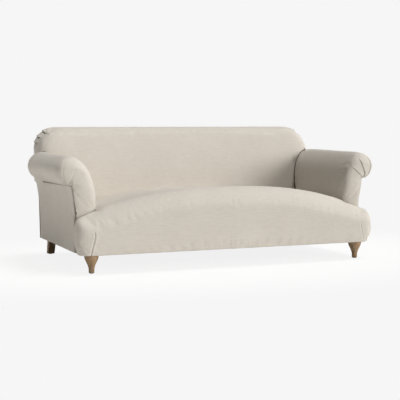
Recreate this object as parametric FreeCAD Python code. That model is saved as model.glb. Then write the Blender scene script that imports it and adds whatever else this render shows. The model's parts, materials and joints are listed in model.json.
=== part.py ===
"""English roll arm sofa with a fixed domed seat, a tight back and pleated arms, in millimetres.

The origin is on the floor under the middle of the sofa. +X runs along the sofa to the right of
someone who faces it, the front faces -Y and +Z is up.
"""

import FreeCAD
import Part
import math
import os

V = FreeCAD.Vector

# Overall sizes
overall_width = 2180.0        # over the arm rolls
overall_depth = 1070.0        # front of the seat to the rear of the back
overall_height = 860.0
underside = 112.0             # floor to the underside of the body
roll_overhang = 115.0         # arm rolls past the outside arms, at the underside

# Layers of upholstery
cloth = 2.0                   # woven linen cover
wadding = 8.0                 # polyester wadding under the cover
lining_board = 3.0            # hardboard behind the outside arms and the outside back
dust_cloth = 1.0              # black cloth under the frame
open_edge = 1.0               # how far a hollow runs past the open edge of its layer

# Seat
seat_height = 487.0           # top of the dome, in the middle of the sofa
seat_drop = 165.0             # how much lower the top is at the ends
dome_power = 2.5              # 2 gives a parabola, more is flatter in the middle
seat_pitch = 0.0685           # how far the top falls towards the back, for each unit of depth
seat_front_radius = 110.0     # top front edge
seat_end_radius = 60.0        # front corners and top end corners
seat_end_bulge = 28.0         # the ends swell past the underside, up to the front of the arms
front_draw_in = 6.0           # the front draws in towards the underside
lip_depth = 143.0             # how far the seat stands in front of the arms
dart_height = 138.0           # stitched dart near each front corner
dart_inset = 55.0             # dart from the end of the body

# Arms
arm_thickness = 135.0         # outside arm to inside arm, at the underside
arm_height = 697.0
arm_shoulder = 430.0          # where the inside arm starts to curve outwards
roll_radius = 90.0
arm_edge_radius = 48.0        # front edge of the inside arm and the roll
side_seam = 14.0              # front of the arm to the seam of the outside arm
roll_set_back = 160.0         # rear end of the roll from the rear of the back
roll_end_radius = 14.0
arm_foam = 30.0
arm_front_foam = 15.0
panel_flare = 4.0             # the outside arm stands out this much at the shoulder
panel_neck = 18.0             # and this much at its top, under the roll
panel_gap = 18.0              # top of the outside arm to the roll

# Back
back_overhang = 30.0          # sides of the back past the outside arms, at the underside
rear_overhang = 36.0          # the same at the rear of the back
back_corner_radius = 180.0    # top corners, at the front
rear_corner_radius = 138.0    # top corners, at the rear
back_seam_z = 400.0           # where the inside back rises out of the seat, near the arms
back_seam_depth = 260.0       # and its face there, from the rear of the back
back_top_depth = 122.0        # the same at the top of the sofa
rear_slope = 0.02             # how far the outside back leans, for each unit of height
back_edge_radius = 60.0       # front edge of the back, round the top and the sides
back_crown = 25.0             # swell of the inside back past its edges
crown_reach = 240.0           # how far in from the edges it swells
rear_edge_radius = 8.0
back_foam = 62.0
back_edge_foam = 22.0

# Frame
rail_thickness = 28.0
rail_height = 95.0
front_padding = 32.0          # front of the seat to the front rail
stretcher_height = 60.0
stretcher_x = 310.0
board_thickness = 24.0
lower_batten = 36.0
top_batten = 30.0
batten_rise = 22.0            # lower arm rail above the seat rails
frame_gap = 5.0               # upholstery of arms and back above the seat rails
rib_thickness = 22.0
rib_count = 4
rib_head = 60.0               # ribs stop this far under the top of the sofa
crest_band = 90.0             # width of the arched board of the back
back_rail_thickness = 20.0
back_rail_height = 60.0
corner_block = 105.0
dowel_radius = 5.0
dowel_length = 50.0
block_screw_radius = 2.5
block_screw_length = 45.0
wood_screw_fit = 0.05         # gap round a dowel or a screw

# Springs and webbing
spring_count = 13
spring_wire = 3.8
spring_pitch = 31.0
spring_width = 50.0
spring_rise = 6.0             # wire above the top of the rails
clip_length = 24.0
clip_depth = 14.0
clip_fit = 0.1
tie_wire = 3.0
tie_wire_count = 3
web_width = 50.0
web_thickness = 2.0
web_count = 11
cross_web_count = 4
spring_pad = 6.0              # felt over the springs
slab_height = 100.0           # firm foam under the domed foam

# Pleats and darts
pleat_depth = 1.2
pleat_width = 1.6
arm_pleat_angles = (150.0, 112.0, 62.0)
arm_pleat_start = 18.0
arm_pleat_length = 85.0
back_pleat_angles = (14.0, 33.0, 55.0)
back_pleat_length = 62.0

# Legs
leg_profile = (               # height and radius of the turned front leg
    (4.0, 15.5), (9.0, 16.8), (16.0, 17.0), (27.0, 17.4), (38.0, 19.4), (54.0, 24.8),
    (66.0, 30.2), (77.0, 35.4), (86.0, 39.2), (92.0, 41.2), (100.0, 42.4),
)
leg_top_radius = 42.8
front_leg_inset = 75.0        # axis of the leg from the end of the body
front_leg_set_back = 73.0     # axis of the leg from the front of the seat
rear_leg_inset = 70.0
rear_leg_set_back = 72.0      # axis of the leg top from the rear of the back
rear_leg_top = 50.0
rear_leg_foot = 44.0
rear_leg_rake = 38.0          # the foot stands behind the top by this much
glide_radius = 13.0
glide_height = 4.0
plate_size = 60.0
plate_thickness = 3.0
plate_fit = 0.5
screw_spread = 22.0           # plate screws from the axis of the leg
plate_screw_radius = 2.0
plate_screw_length = 20.0
bolt_radius = 4.0
bolt_fit = 0.1
bolt_depth = 38.0             # hanger bolt in the leg
bolt_above = 14.0             # and above the top of the leg
boss_radius = 9.0             # threaded boss of the plate
boss_height = 9.0
leg_hole_gap = 1.0            # dust cloth round the legs

# Places that follow from the sizes
far = overall_width
front_y = -overall_depth / 2
rear_y = overall_depth / 2
body_half = overall_width / 2 - roll_overhang
inside_half = body_half - arm_thickness
back_half = body_half + back_overhang
rear_half = body_half + rear_overhang
roll_x = overall_width / 2 - roll_radius
roll_z = arm_height - roll_radius
roll_foot = roll_z - roll_radius
roll_end = rear_y - roll_set_back
arm_front_y = front_y + lip_depth
panel_top = roll_foot - panel_gap
skin = cloth + wadding
panel_depth = skin + lining_board
frame_half = body_half - panel_depth
frame_foot = underside + dust_cloth
rail_top = frame_foot + rail_height
frame_front = front_y + front_padding
upholstery_foot = rail_top + frame_gap
deck = rail_top + spring_rise + spring_wire / 2
foam_floor = deck + spring_pad
pad_half = inside_half - skin
arm_core = skin + arm_foam
board_front = arm_front_y + skin + arm_front_foam
back_core = skin + back_foam
back_core_edge = skin + back_edge_foam
web_plane = back_core + 2 * web_thickness
back_seam_y = rear_y - back_seam_depth
back_slope = (back_seam_depth - back_top_depth) / (overall_height - back_seam_z)


def block(x0, x1, y0, y1, z0, z1):
    """Box between two corners."""
    return Part.makeBox(x1 - x0, y1 - y0, z1 - z0, V(x0, y0, z0))


def prism(points, along):
    """Straight prism from the corners of a flat outline."""
    wire = Part.makePolygon([V(*p) for p in points] + [V(*points[0])])
    return Part.Face(wire).extrude(V(*along))


def rod(radius, start, direction, length):
    return Part.makeCylinder(radius, length, V(*start), V(*direction))


def mirrored(shape):
    """The left-hand twin of a right-hand piece."""
    return shape.mirror(V(0, 0, 0), V(1, 0, 0))


def both_sides(shape):
    return Part.makeCompound([shape, mirrored(shape)])


def arc(a, b, c):
    return Part.Arc(V(*a), V(*b), V(*c)).toShape()


def line(a, b):
    return Part.makeLine(V(*a), V(*b))


def curve(points):
    """Smooth curve through points."""
    spline = Part.BSplineCurve()
    spline.interpolate([V(*p) for p in points])
    return spline.toShape()


def rounding(radius, depth):
    """How far a rounded edge is drawn in at a depth behind its face."""
    if depth >= radius:
        return 0.0
    return radius - math.sqrt(radius ** 2 - (radius - depth) ** 2)


def grooves(slabs, form):
    """Shallow grooves that slabs mark in the surface of a form."""
    outer = form(0.0)
    inner = form(pleat_depth)
    return [slab.common(outer).cut(inner) for slab in slabs]


def inside_back_y(z):
    return back_seam_y + back_slope * (z - back_seam_z)


def outside_back_y(z):
    return rear_y - rear_slope * (overall_height - z)


def frame_back_y(z):
    """Rear face of the frame of the back."""
    return outside_back_y(z) - panel_depth


frame_rear = frame_back_y(underside)


def seat_top(x):
    """Height of the domed seat at a distance from the middle of the sofa."""
    return seat_height - seat_drop * (abs(x) / body_half) ** dome_power


def seat_fall(y):
    """How much lower the top of the seat is at a place behind its front edge."""
    return seat_pitch * max(0.0, y - front_y - seat_front_radius)


# Seat

def seat_outline(y, top_in, side_in, foot_in, bulge, inset):
    """Section across the sofa: flat underside, swelling ends and a domed top."""
    foot_x = body_half - inset - side_in
    foot_z = underside + foot_in - (open_edge if inset else 0.0)
    dome_x = foot_x - 0.8 * seat_end_radius
    dome_z = seat_top(dome_x) - top_in - inset
    bulge_x = foot_x + bulge
    waist_z = foot_z + 0.5 * (dome_z - foot_z)
    neck_x = bulge_x - 0.12 * seat_end_bulge
    neck_z = waist_z + 0.48 * (dome_z - waist_z)
    corner_x = bulge_x - 0.30 * (bulge_x - dome_x)
    corner_z = dome_z - 0.27 * (dome_z - neck_z)
    steps = [0.2 * n for n in range(5, -6, -1)]
    dome = [(s * dome_x, y, seat_top(s * dome_x) - top_in - inset) for s in steps]
    return Part.Wire([
        line((-foot_x, y, foot_z), (foot_x, y, foot_z)),
        arc((foot_x, y, foot_z), (bulge_x, y, waist_z), (neck_x, y, neck_z)),
        arc((neck_x, y, neck_z), (corner_x, y, corner_z), (dome_x, y, dome_z)),
        curve(dome),
        arc((-dome_x, y, dome_z), (-corner_x, y, corner_z), (-neck_x, y, neck_z)),
        arc((-neck_x, y, neck_z), (-bulge_x, y, waist_z), (-foot_x, y, foot_z)),
    ])


def seat_form(inset):
    """The whole T-shaped seat, or the same form a layer further in."""
    depths = [0.0, 2.0, front_draw_in, 14.0, 28.0, 50.0, 80.0, seat_front_radius, lip_depth]
    foot_rise = [10.0 * front_draw_in, 4.0 * front_draw_in]
    foot_rise += [0.0] * (len(depths) - len(foot_rise))
    rear = inside_back_y(seat_height) + back_edge_radius
    wires = []
    for depth, rise in zip(depths, foot_rise):
        top_in = rounding(seat_front_radius, depth) + seat_fall(front_y + depth)
        side_in = rounding(seat_end_radius, depth)
        bulge = seat_end_bulge * (1.0 - 0.85 * (depth / lip_depth) ** 4)
        wires.append(seat_outline(front_y + inset + depth, top_in, side_in, rise, bulge, inset))
    wires.append(seat_outline(rear, seat_fall(rear), 0.0, 0.0, bulge, inset))
    form = Part.makeLoft(wires, True, True)
    beside = block(inside_half - inset, far, arm_front_y - inset, far, 0.0, far)
    return form.cut([beside, mirrored(beside)])


# Arms

def panel_line(side_in):
    """Outside arm from its top to the underside, as points in X and Z."""
    return [
        (body_half + panel_neck - side_in, panel_top),
        (body_half + panel_flare - side_in, arm_shoulder),
        (body_half - side_in, underside),
    ]


def arm_outline(y, inset, side_in):
    """Section of the right arm: inside face, scroll over the roll, neck and outside face."""
    across = roll_x - inside_half - inset
    rise = arm_height - arm_shoulder - inset
    radius = roll_radius - inset
    bow = []
    for step in range(5):
        turn = math.radians(22.5 * step)
        bow.append((roll_x - across * math.cos(turn), y, arm_shoulder + rise * math.sin(turn)))
    roll = []
    for step in range(1, 5):
        turn = math.radians(90.0 - 45.0 * step)
        roll.append((roll_x + radius * math.cos(turn), y, roll_z + radius * math.sin(turn)))
    foot_z = underside - (open_edge if inset else 0.0)
    outside = [(x, y, z) for x, z in panel_line(side_in)]
    outside[-1] = (outside[-1][0], y, foot_z)
    inner_foot = (bow[0][0], y, foot_z)
    return Part.Wire([
        line(inner_foot, bow[0]),
        arc(*bow[0:3]),
        arc(*bow[2:5]),
        arc(bow[4], roll[0], roll[1]),
        arc(*roll[1:4]),
        line(roll[3], outside[0]),
        line(outside[0], outside[1]),
        line(outside[1], outside[2]),
        line(outside[2], inner_foot),
    ])


def arm_form(inset):
    """The whole right arm with its soft front edge, or the same form a layer further in."""
    wires = []
    for depth in (0.0, 3.0, 8.0, 16.0, 30.0, arm_edge_radius):
        edge = inset + rounding(arm_edge_radius, depth)
        side = inset + rounding(side_seam, depth)
        wires.append(arm_outline(arm_front_y + inset + depth, edge, side))
    end_y = roll_end - inset
    wires.append(arm_outline(end_y - roll_end_radius, inset, inset))
    wires.append(arm_outline(end_y, inset + roll_end_radius, inset))
    return Part.makeLoft(wires, True, True)


def arm_core_form(inset, start_y, length):
    """Straight length of the inside of the right arm, for boards and the liner."""
    face = Part.Face(arm_outline(start_y, inset, panel_depth))
    return face.extrude(V(0, length, 0))


def arm_hollows(back):
    """What the upholstery of the right arm leaves free: outside arm, seat frame and back."""
    slot_y = arm_front_y + side_seam
    corners = [(x, slot_y, z) for x, z in panel_line(panel_depth)]
    foot_x = corners[-1][0]
    corners += [(foot_x, slot_y, 0.0), (far, slot_y, 0.0), (far, slot_y, panel_top)]
    slot = prism(corners, (0, far, 0))
    above_rails = block(0.0, frame_half, front_y, slot_y, 0.0, upholstery_foot)
    behind_seam = block(0.0, far, slot_y, far, 0.0, upholstery_foot)
    return [slot, above_rails, behind_seam, back]


# Back

def back_outline(half, corner, inset, foot, plane):
    """Arched outline of the back on a leaning plane, given by its y at a height."""
    half -= inset
    top = overall_height - inset
    radius = max(corner - inset, 0.4 * corner)
    middle_x = half - radius
    middle_z = top - radius
    bend_x = middle_x + radius * math.cos(math.radians(45.0))
    bend_z = middle_z + radius * math.sin(math.radians(45.0))

    def at(x, z):
        return (x, plane(z), z)

    return Part.Wire([
        line(at(-half, foot), at(half, foot)),
        line(at(half, foot), at(half, middle_z)),
        arc(at(half, middle_z), at(bend_x, bend_z), at(middle_x, top)),
        line(at(middle_x, top), at(-middle_x, top)),
        arc(at(-middle_x, top), at(-bend_x, bend_z), at(-half, middle_z)),
        line(at(-half, middle_z), at(-half, foot)),
    ])


def front_outline(inset, foot, plane):
    return back_outline(back_half, back_corner_radius, inset, foot, plane)


def rear_outline(inset, foot, plane):
    return back_outline(rear_half, rear_corner_radius, inset, foot, plane)


def below_rolls():
    """Space beside the frame of the back, under the tops of the outside arms."""
    return both_sides(block(frame_half, far, 0.0, far, 0.0, panel_top))


def back_form(inset):
    """The whole upholstered back, or the same form a layer further in, open behind and below."""
    hidden = open_edge if inset else 0.0
    foot = upholstery_foot - hidden
    wires = []
    for depth, edge in ((-hidden, rear_edge_radius), (rear_edge_radius, 0.0)):
        wires.append(rear_outline(inset + edge, foot, lambda z: frame_back_y(z) - depth))
    for share in (1.0, 0.6, 0.3, 0.12, 0.03, 0.0):
        depth = share * back_edge_radius
        edge = inset + rounding(back_edge_radius, depth)
        wires.append(front_outline(edge, foot, lambda z: inside_back_y(z) + inset + depth))
    for share in (0.3, 0.65, 1.0):
        swell = back_crown * (1.0 - (1.0 - share) ** 2)
        edge = inset + back_edge_radius + share * crown_reach
        wires.append(front_outline(edge, foot, lambda z: inside_back_y(z) + inset - swell))
    return Part.makeLoft(wires, True, True)


def leaning_board(x0, x1, z0, z1, front, thickness):
    """Board that leans with the inside back, a distance behind its face."""
    corners = [
        (x0, inside_back_y(z0) + front, z0),
        (x0, inside_back_y(z1) + front, z1),
        (x0, inside_back_y(z1) + front + thickness, z1),
        (x0, inside_back_y(z0) + front + thickness, z0),
    ]
    return prism(corners, (x1 - x0, 0, 0))


def back_core_form():
    """Hollow of the back, where its frame and webbing are."""
    foot = upholstery_foot - open_edge
    behind = rear_outline(back_core_edge, foot, lambda z: frame_back_y(z) + open_edge)
    before = front_outline(back_core_edge, foot, lambda z: inside_back_y(z) + back_core)
    return Part.makeLoft([behind, before], True, True)


def crest_board():
    """Arched board that shapes the top and the sides of the outside back."""
    faces = []
    for inset in (back_core_edge, back_core_edge + crest_band):
        front = rear_outline(inset, rail_top, lambda z: frame_back_y(z) - board_thickness)
        faces.append(Part.Face(front).extrude(V(0, board_thickness, 0)))
    return faces[0].cut([faces[1], below_rolls()])


def rib(x, top, front):
    """Upright wedge that gives the back its lean, from the seat rails up."""
    rear = -board_thickness
    corners = [
        (x, inside_back_y(rail_top) + front, rail_top),
        (x, inside_back_y(top) + front, top),
        (x, frame_back_y(top) + rear, top),
        (x, frame_back_y(rail_top) + rear, rail_top),
    ]
    return prism(corners, (rib_thickness, 0, 0))


def rib_places():
    """Left face of each inner rib, spread evenly between the corners of the back."""
    reach = back_half - back_corner_radius
    pitch = 2 * reach / (rib_count - 1)
    return [-reach + n * pitch - rib_thickness / 2 for n in range(rib_count)]


def webs():
    """Vertical webs between the two rails of the back, and cross webs between its posts."""
    top = overall_height - rib_head
    pitch = 2 * (back_half - back_corner_radius) / (web_count + 1)
    upright = []
    for n in range(web_count):
        x = (n - (web_count - 1) / 2) * pitch
        x0 = x - web_width / 2
        x1 = x + web_width / 2
        front = back_core + web_thickness
        upright.append(leaning_board(x0, x1, rail_top, top, front, web_thickness))
    across = []
    low = rail_top + back_rail_height
    step = (overall_height - back_corner_radius - low) / (cross_web_count + 1)
    for n in range(cross_web_count):
        z0 = low + (n + 1) * step - web_width / 2
        z1 = z0 + web_width
        across.append(leaning_board(-frame_half, frame_half, z0, z1, back_core, web_thickness))
    return upright, across


# Outside panels

def panel_layer(outer, inner):
    """Layer of the right outside arm, between two distances behind its face."""
    slot_y = arm_front_y + side_seam
    length = frame_rear - slot_y
    corners = [(x, slot_y, z) for x, z in panel_line(outer)]
    corners += [(x, slot_y, z) for x, z in reversed(panel_line(inner))]
    return prism(corners, (0, length, 0))


def rear_layer(outer, inner):
    """Layer of the outside back, between two distances in front of its face."""
    half = rear_half - rear_edge_radius
    top = overall_height - rear_edge_radius
    radius = rear_corner_radius - rear_edge_radius
    middle_x = half - radius
    middle_z = top - radius
    bend = math.radians(45.0)
    bend_x = middle_x + radius * math.cos(bend)
    bend_z = middle_z + radius * math.sin(bend)

    def at(x, z):
        return V(x, outside_back_y(z) - inner, z)

    sides = []
    for side in (1, -1):
        edge = [(side * x, z) for x, z in reversed(panel_line(0.0))]
        edge += [(side * half, panel_top), (side * half, middle_z)]
        sides.append([at(x, z) for x, z in edge])
    right, left = sides
    runs = [Part.makeLine(a, b) for a, b in zip(right, right[1:])]
    runs.append(Part.Arc(right[-1], at(bend_x, bend_z), at(middle_x, top)).toShape())
    runs.append(Part.makeLine(at(middle_x, top), at(-middle_x, top)))
    runs.append(Part.Arc(at(-middle_x, top), at(-bend_x, bend_z), left[-1]).toShape())
    runs += [Part.makeLine(a, b) for a, b in zip(reversed(left), left[-2::-1])]
    runs.append(Part.makeLine(left[0], right[0]))
    return Part.Face(Part.Wire(runs)).extrude(V(0, inner - outer, 0))


# Pleats and darts

def arm_pleats():
    """Pleats that fan out over the front of the right roll from its neck."""
    slabs = []
    for turn in arm_pleat_angles:
        slab = block(
            arm_pleat_start, arm_pleat_start + arm_pleat_length,
            arm_front_y - open_edge, arm_front_y + arm_edge_radius,
            -pleat_width / 2, pleat_width / 2,
        )
        slab.rotate(V(0, 0, 0), V(0, 1, 0), -turn)
        slab.translate(V(roll_x, 0, roll_foot))
        slabs.append(slab)
    return grooves(slabs, arm_form)


def back_pleats():
    """Pleats over each top corner of the back, from its rear edge forward."""
    slabs = []
    for turn in back_pleat_angles:
        slab = block(
            0.6 * rear_corner_radius, 1.2 * rear_corner_radius,
            frame_back_y(overall_height) - back_pleat_length, rear_y,
            -pleat_width / 2, pleat_width / 2,
        )
        slab.rotate(V(0, 0, 0), V(0, 1, 0), -turn)
        slab.translate(V(rear_half - rear_corner_radius, 0, overall_height - rear_corner_radius))
        slabs += [slab, mirrored(slab)]
    return grooves(slabs, back_form)


def seat_darts():
    """Stitched dart near each front corner, up from the underside."""
    x = body_half - dart_inset
    slab = block(
        x - pleat_width / 2, x + pleat_width / 2,
        front_y - open_edge, front_y + seat_end_radius,
        underside - open_edge, underside + dart_height,
    )
    return grooves([slab, mirrored(slab)], seat_form)


# Legs

def leg_places():
    """Axis of each leg at its top: the front pair, then the rear pair."""
    front_x = body_half - front_leg_inset
    rear_x = body_half - rear_leg_inset
    front = front_y + front_leg_set_back
    rear = rear_y - rear_leg_set_back
    return {
        "front_right_leg": (front_x, front),
        "front_left_leg": (-front_x, front),
        "rear_right_leg": (rear_x, rear),
        "rear_left_leg": (-rear_x, rear),
    }


def bolt_hole(x, y):
    return rod(bolt_radius + bolt_fit, (x, y, frame_foot - bolt_depth), (0, 0, 1), far)


def front_leg(x, y):
    """Turned leg: a wide shoulder that narrows to a slim ankle and foot."""
    outline = [(radius, height) for height, radius in leg_profile]
    outline.append((leg_top_radius, frame_foot))
    side = curve([(r, 0.0, z) for r, z in outline])
    foot_r, foot_z = outline[0]
    wire = Part.Wire([
        line((0.0, 0.0, foot_z), (foot_r, 0.0, foot_z)),
        side,
        line((leg_top_radius, 0.0, frame_foot), (0.0, 0.0, frame_foot)),
        line((0.0, 0.0, frame_foot), (0.0, 0.0, foot_z)),
    ])
    leg = Part.Face(wire).revolve(V(0, 0, 0), V(0, 0, 1), 360.0)
    leg.translate(V(x, y, 0))
    return leg.cut(bolt_hole(x, y))


def rear_leg(x, y):
    """Square leg that tapers and rakes backwards."""
    wires = []
    for z, size, shift in (
        (glide_height, rear_leg_foot, rear_leg_rake),
        (frame_foot, rear_leg_top, 0.0),
    ):
        h = size / 2
        points = [V(x + a * h, y + shift + b * h, z) for a, b in ((-1, -1), (1, -1), (1, 1), (-1, 1))]
        wires.append(Part.makePolygon(points + [points[0]]))
    return Part.makeLoft(wires, True, True).cut(bolt_hole(x, y))


def leg_plate(x, y):
    """Steel plate with a threaded boss, screwed under the frame."""
    h = plate_size / 2
    top = frame_foot + plate_thickness
    plate = block(x - h, x + h, y - h, y + h, frame_foot, top)
    boss = rod(boss_radius, (x, y, top), (0, 0, 1), boss_height)
    holes = [bolt_hole(x, y)]
    holes += [rod(plate_screw_radius + plate_fit, p, (0, 0, 1), far) for p in plate_screw_feet(x, y)]
    return plate.fuse(boss).cut(holes)


def plate_screw_feet(x, y):
    """Start of each screw of a leg plate."""
    return [(x + a * screw_spread, y + b * screw_spread, frame_foot) for a in (-1, 1) for b in (-1, 1)]


def plate_recess(x, y):
    """Room in the frame for a leg plate, its boss and the end of the bolt."""
    h = plate_size / 2 + plate_fit
    top = frame_foot + plate_thickness
    plate = block(x - h, x + h, y - h, y + h, 0.0, top)
    boss = rod(boss_radius + plate_fit, (x, y, frame_foot), (0, 0, 1), bolt_above + plate_fit)
    return [plate, boss]


def leg_opening(x, y, name):
    """Hole in the dust cloth round a leg."""
    if name.startswith("front"):
        return rod(leg_top_radius + leg_hole_gap, (x, y, 0), (0, 0, 1), far)
    h = rear_leg_top / 2 + leg_hole_gap
    return block(x - h, x + h, y - h, y + h, 0.0, far)


# Screws, dowels and springs

def corner_places():
    """Inside corners of the seat frame, with the direction of the rails from each."""
    inner_x = frame_half - rail_thickness
    places = []
    for side in (1, -1):
        places.append((side * inner_x, frame_front + rail_thickness, side, -1))
        places.append((side * inner_x, frame_rear - rail_thickness, side, 1))
    return places


def block_screws():
    """Two screws from each corner block into its two rails."""
    rods = []
    middle = frame_foot + rail_height / 2
    for x, y, sx, sy in corner_places():
        reach = 0.6 * corner_block
        grip = 0.5 * block_screw_length
        for z in (middle, middle + 0.25 * rail_height):
            rods.append(((x - sx * grip, y - sy * reach, z), (sx, 0, 0)))
            rods.append(((x - sx * reach, y - sy * grip, z + 6 * block_screw_radius), (0, sy, 0)))
    return [(block_screw_radius, p, d, block_screw_length) for p, d in rods]


def plate_screws():
    rods = []
    for x, y in leg_places().values():
        for foot in plate_screw_feet(x, y):
            rods.append((plate_screw_radius, foot, (0, 0, 1), plate_screw_length))
    return rods


def dowels():
    """Two dowels where each side rail meets the front and the rear rail."""
    rods = []
    for x, y, sx, sy in corner_places():
        axis_x = x + sx * rail_thickness / 2
        for share in (0.25, 0.75):
            z = frame_foot + share * rail_height
            rods.append((dowel_radius, (axis_x, y - sy * dowel_length / 2, z), (0, sy, 0), dowel_length))
    return rods


def rods_of(specs, fit):
    return [rod(r + fit, p, d, length) for r, p, d, length in specs]


def spring_rail_y():
    """Front face of the rail under the inside back, which holds the springs."""
    return inside_back_y(rail_top) + web_plane


def spring_ends():
    """First and last straight run of each spring, over the middles of two rails."""
    half = rail_thickness / 2
    return frame_front + half, spring_rail_y() + half


def zigzag_spring():
    """Sinuous spring: straight runs across, joined by half turns, from rail to rail."""
    start_y, end_y = spring_ends()
    loops = round((end_y - start_y) / spring_pitch)
    pitch = (end_y - start_y) / loops
    turn = pitch / 2
    half = spring_width / 2 - turn
    z = rail_top + spring_rise
    edges = []
    diagonal = turn * math.sin(math.radians(45.0))
    for n in range(loops + 1):
        y = start_y + n * pitch
        side = 1 if n % 2 == 0 else -1
        edges.append(line((-side * half, y, z), (side * half, y, z)))
        if n < loops:
            top = (side * (half + diagonal), y + turn - diagonal, z)
            out = (side * (half + turn), y + turn, z)
            low = (side * (half + diagonal), y + turn + diagonal, z)
            edges.append(arc((side * half, y, z), top, out))
            edges.append(arc(out, low, (side * half, y + pitch, z)))
    path = Part.Wire(edges)
    circle = Part.Circle(V(-half, start_y, z), V(1, 0, 0), spring_wire / 2).toShape()
    return path.makePipeShell([Part.Wire([circle])], True, False)


def spring_places():
    pitch = 2 * pad_half / (spring_count + 1)
    return [(n - (spring_count - 1) / 2) * pitch for n in range(spring_count)]


def spring_clip(x, y):
    """Steel clip that holds the end of a spring on a rail."""
    dx = clip_length / 2
    dy = clip_depth / 2
    start = (x - clip_length, y, rail_top + spring_rise)
    hole = rod(spring_wire / 2 + clip_fit, start, (1, 0, 0), 2 * clip_length)
    return block(x - dx, x + dx, y - dy, y + dy, rail_top, deck).cut(hole)


# Pieces

def arm_pieces(back):
    """Right arm: boards, rails, liner, foam, wadding, cover and the outside arm."""
    hollows = arm_hollows(back)
    rear_board_y = inside_back_y(upholstery_foot) - back_crown - board_thickness
    liner = arm_core + lining_board
    tongue_x = frame_half - rail_thickness
    on_rail = block(tongue_x, far, -far, far, 0.0, rail_top)
    below = block(0.0, far, -far, far, 0.0, frame_foot)
    rail_z = roll_z - top_batten / 2
    top_rail = block(
        frame_half, frame_half + top_batten,
        board_front + board_thickness, frame_back_y(roll_z) - board_thickness,
        rail_z, rail_z + top_batten,
    )
    boards = []
    for y in (board_front, rear_board_y):
        board = arm_core_form(liner, y, board_thickness)
        boards.append(board.cut([on_rail, below, top_rail]))
    batten_x = inside_half + liner
    batten_z = rail_top + batten_rise
    lower_rail = block(
        batten_x, batten_x + lower_batten,
        board_front + board_thickness, rear_board_y,
        batten_z, batten_z + lower_batten,
    )
    core_length = roll_end - arm_core - board_front
    core = arm_core_form(arm_core, board_front, core_length)
    hollow = arm_core_form(liner, board_front, core_length)
    below_batten = block(0.0, far, -far, far, 0.0, batten_z)
    foam = arm_form(skin)
    padding = arm_form(cloth)
    return {
        "arm_front_board": boards[0],
        "arm_rear_board": boards[1],
        "arm_top_rail": top_rail,
        "arm_lower_rail": lower_rail,
        "arm_liner": core.cut([hollow, below_batten] + hollows),
        "arm_foam": foam.cut([core, top_rail] + hollows),
        "arm_wadding": padding.cut([foam] + hollows),
        "arm_cover": arm_form(0.0).cut([padding] + hollows + arm_pleats()),
        "outside_arm_board": panel_layer(skin, panel_depth),
        "outside_arm_cover": panel_layer(0.0, cloth),
    }


def seat_pieces(back):
    """Seat upholstery: firm slab, domed foam, edge foam, wadding and cover."""
    padding = seat_form(cloth)
    foam = seat_form(skin).cut(back)
    slab_space = block(-pad_half, pad_half, frame_front, far, foam_floor, foam_floor + slab_height)
    deck_space = block(-pad_half, pad_half, frame_front, far, rail_top, foam_floor + slab_height)
    frame_space = block(-frame_half, frame_half, frame_front, far, 0.0, rail_top)
    above = block(-far, far, -far, far, rail_top, far)
    below = block(-far, far, -far, far, 0.0, rail_top)
    pad = block(-pad_half, pad_half, frame_front, spring_rail_y(), deck, foam_floor)
    return {
        "spring_pad": pad.cut(back),
        "seat_foam_slab": foam.common(slab_space),
        "seat_foam_dome": foam.common(above).cut(deck_space),
        "seat_edge_foam": foam.common(below).cut(frame_space),
        "seat_wadding": padding.cut([seat_form(skin), back, frame_space, deck_space]),
        "seat_cover": seat_form(0.0).cut([padding, back] + seat_darts()),
    }


def back_pieces(top_rails):
    """Back: posts, ribs, rails, crest board, webbing, foam, wadding, cover and outside back."""
    low = rail_top + back_rail_height
    high = overall_height - rib_head
    post_top = overall_height - back_corner_radius
    post = rib(frame_half - rib_thickness, post_top, web_plane)
    post_x = frame_half - rib_thickness
    reach = back_half - back_corner_radius + rib_thickness
    behind_rails = web_plane + back_rail_thickness
    ribs = [rib(x, high, behind_rails) for x in rib_places()]
    lower = leaning_board(-post_x, post_x, rail_top, low, web_plane, back_rail_thickness)
    upper = leaning_board(-reach, reach, high - back_rail_height, high, web_plane, back_rail_thickness)
    upright, across = webs()
    openings = [below_rolls(), top_rails]
    padding = back_form(cloth)
    foam = back_form(skin)
    return {
        "right_back_post": post,
        "left_back_post": mirrored(post),
        "back_ribs": Part.makeCompound(ribs),
        "back_lower_rail": lower,
        "back_top_rail": upper,
        "back_crest_board": crest_board(),
        "back_webbing_upright": Part.makeCompound(upright),
        "back_webbing_across": Part.makeCompound(across),
        "back_foam": foam.cut([back_core_form()] + openings),
        "back_wadding": padding.cut([foam] + openings),
        "back_cover": back_form(0.0).cut([padding] + openings + back_pleats()),
        "outside_back_board": rear_layer(skin, panel_depth),
        "outside_back_cover": rear_layer(0.0, cloth),
    }


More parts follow.
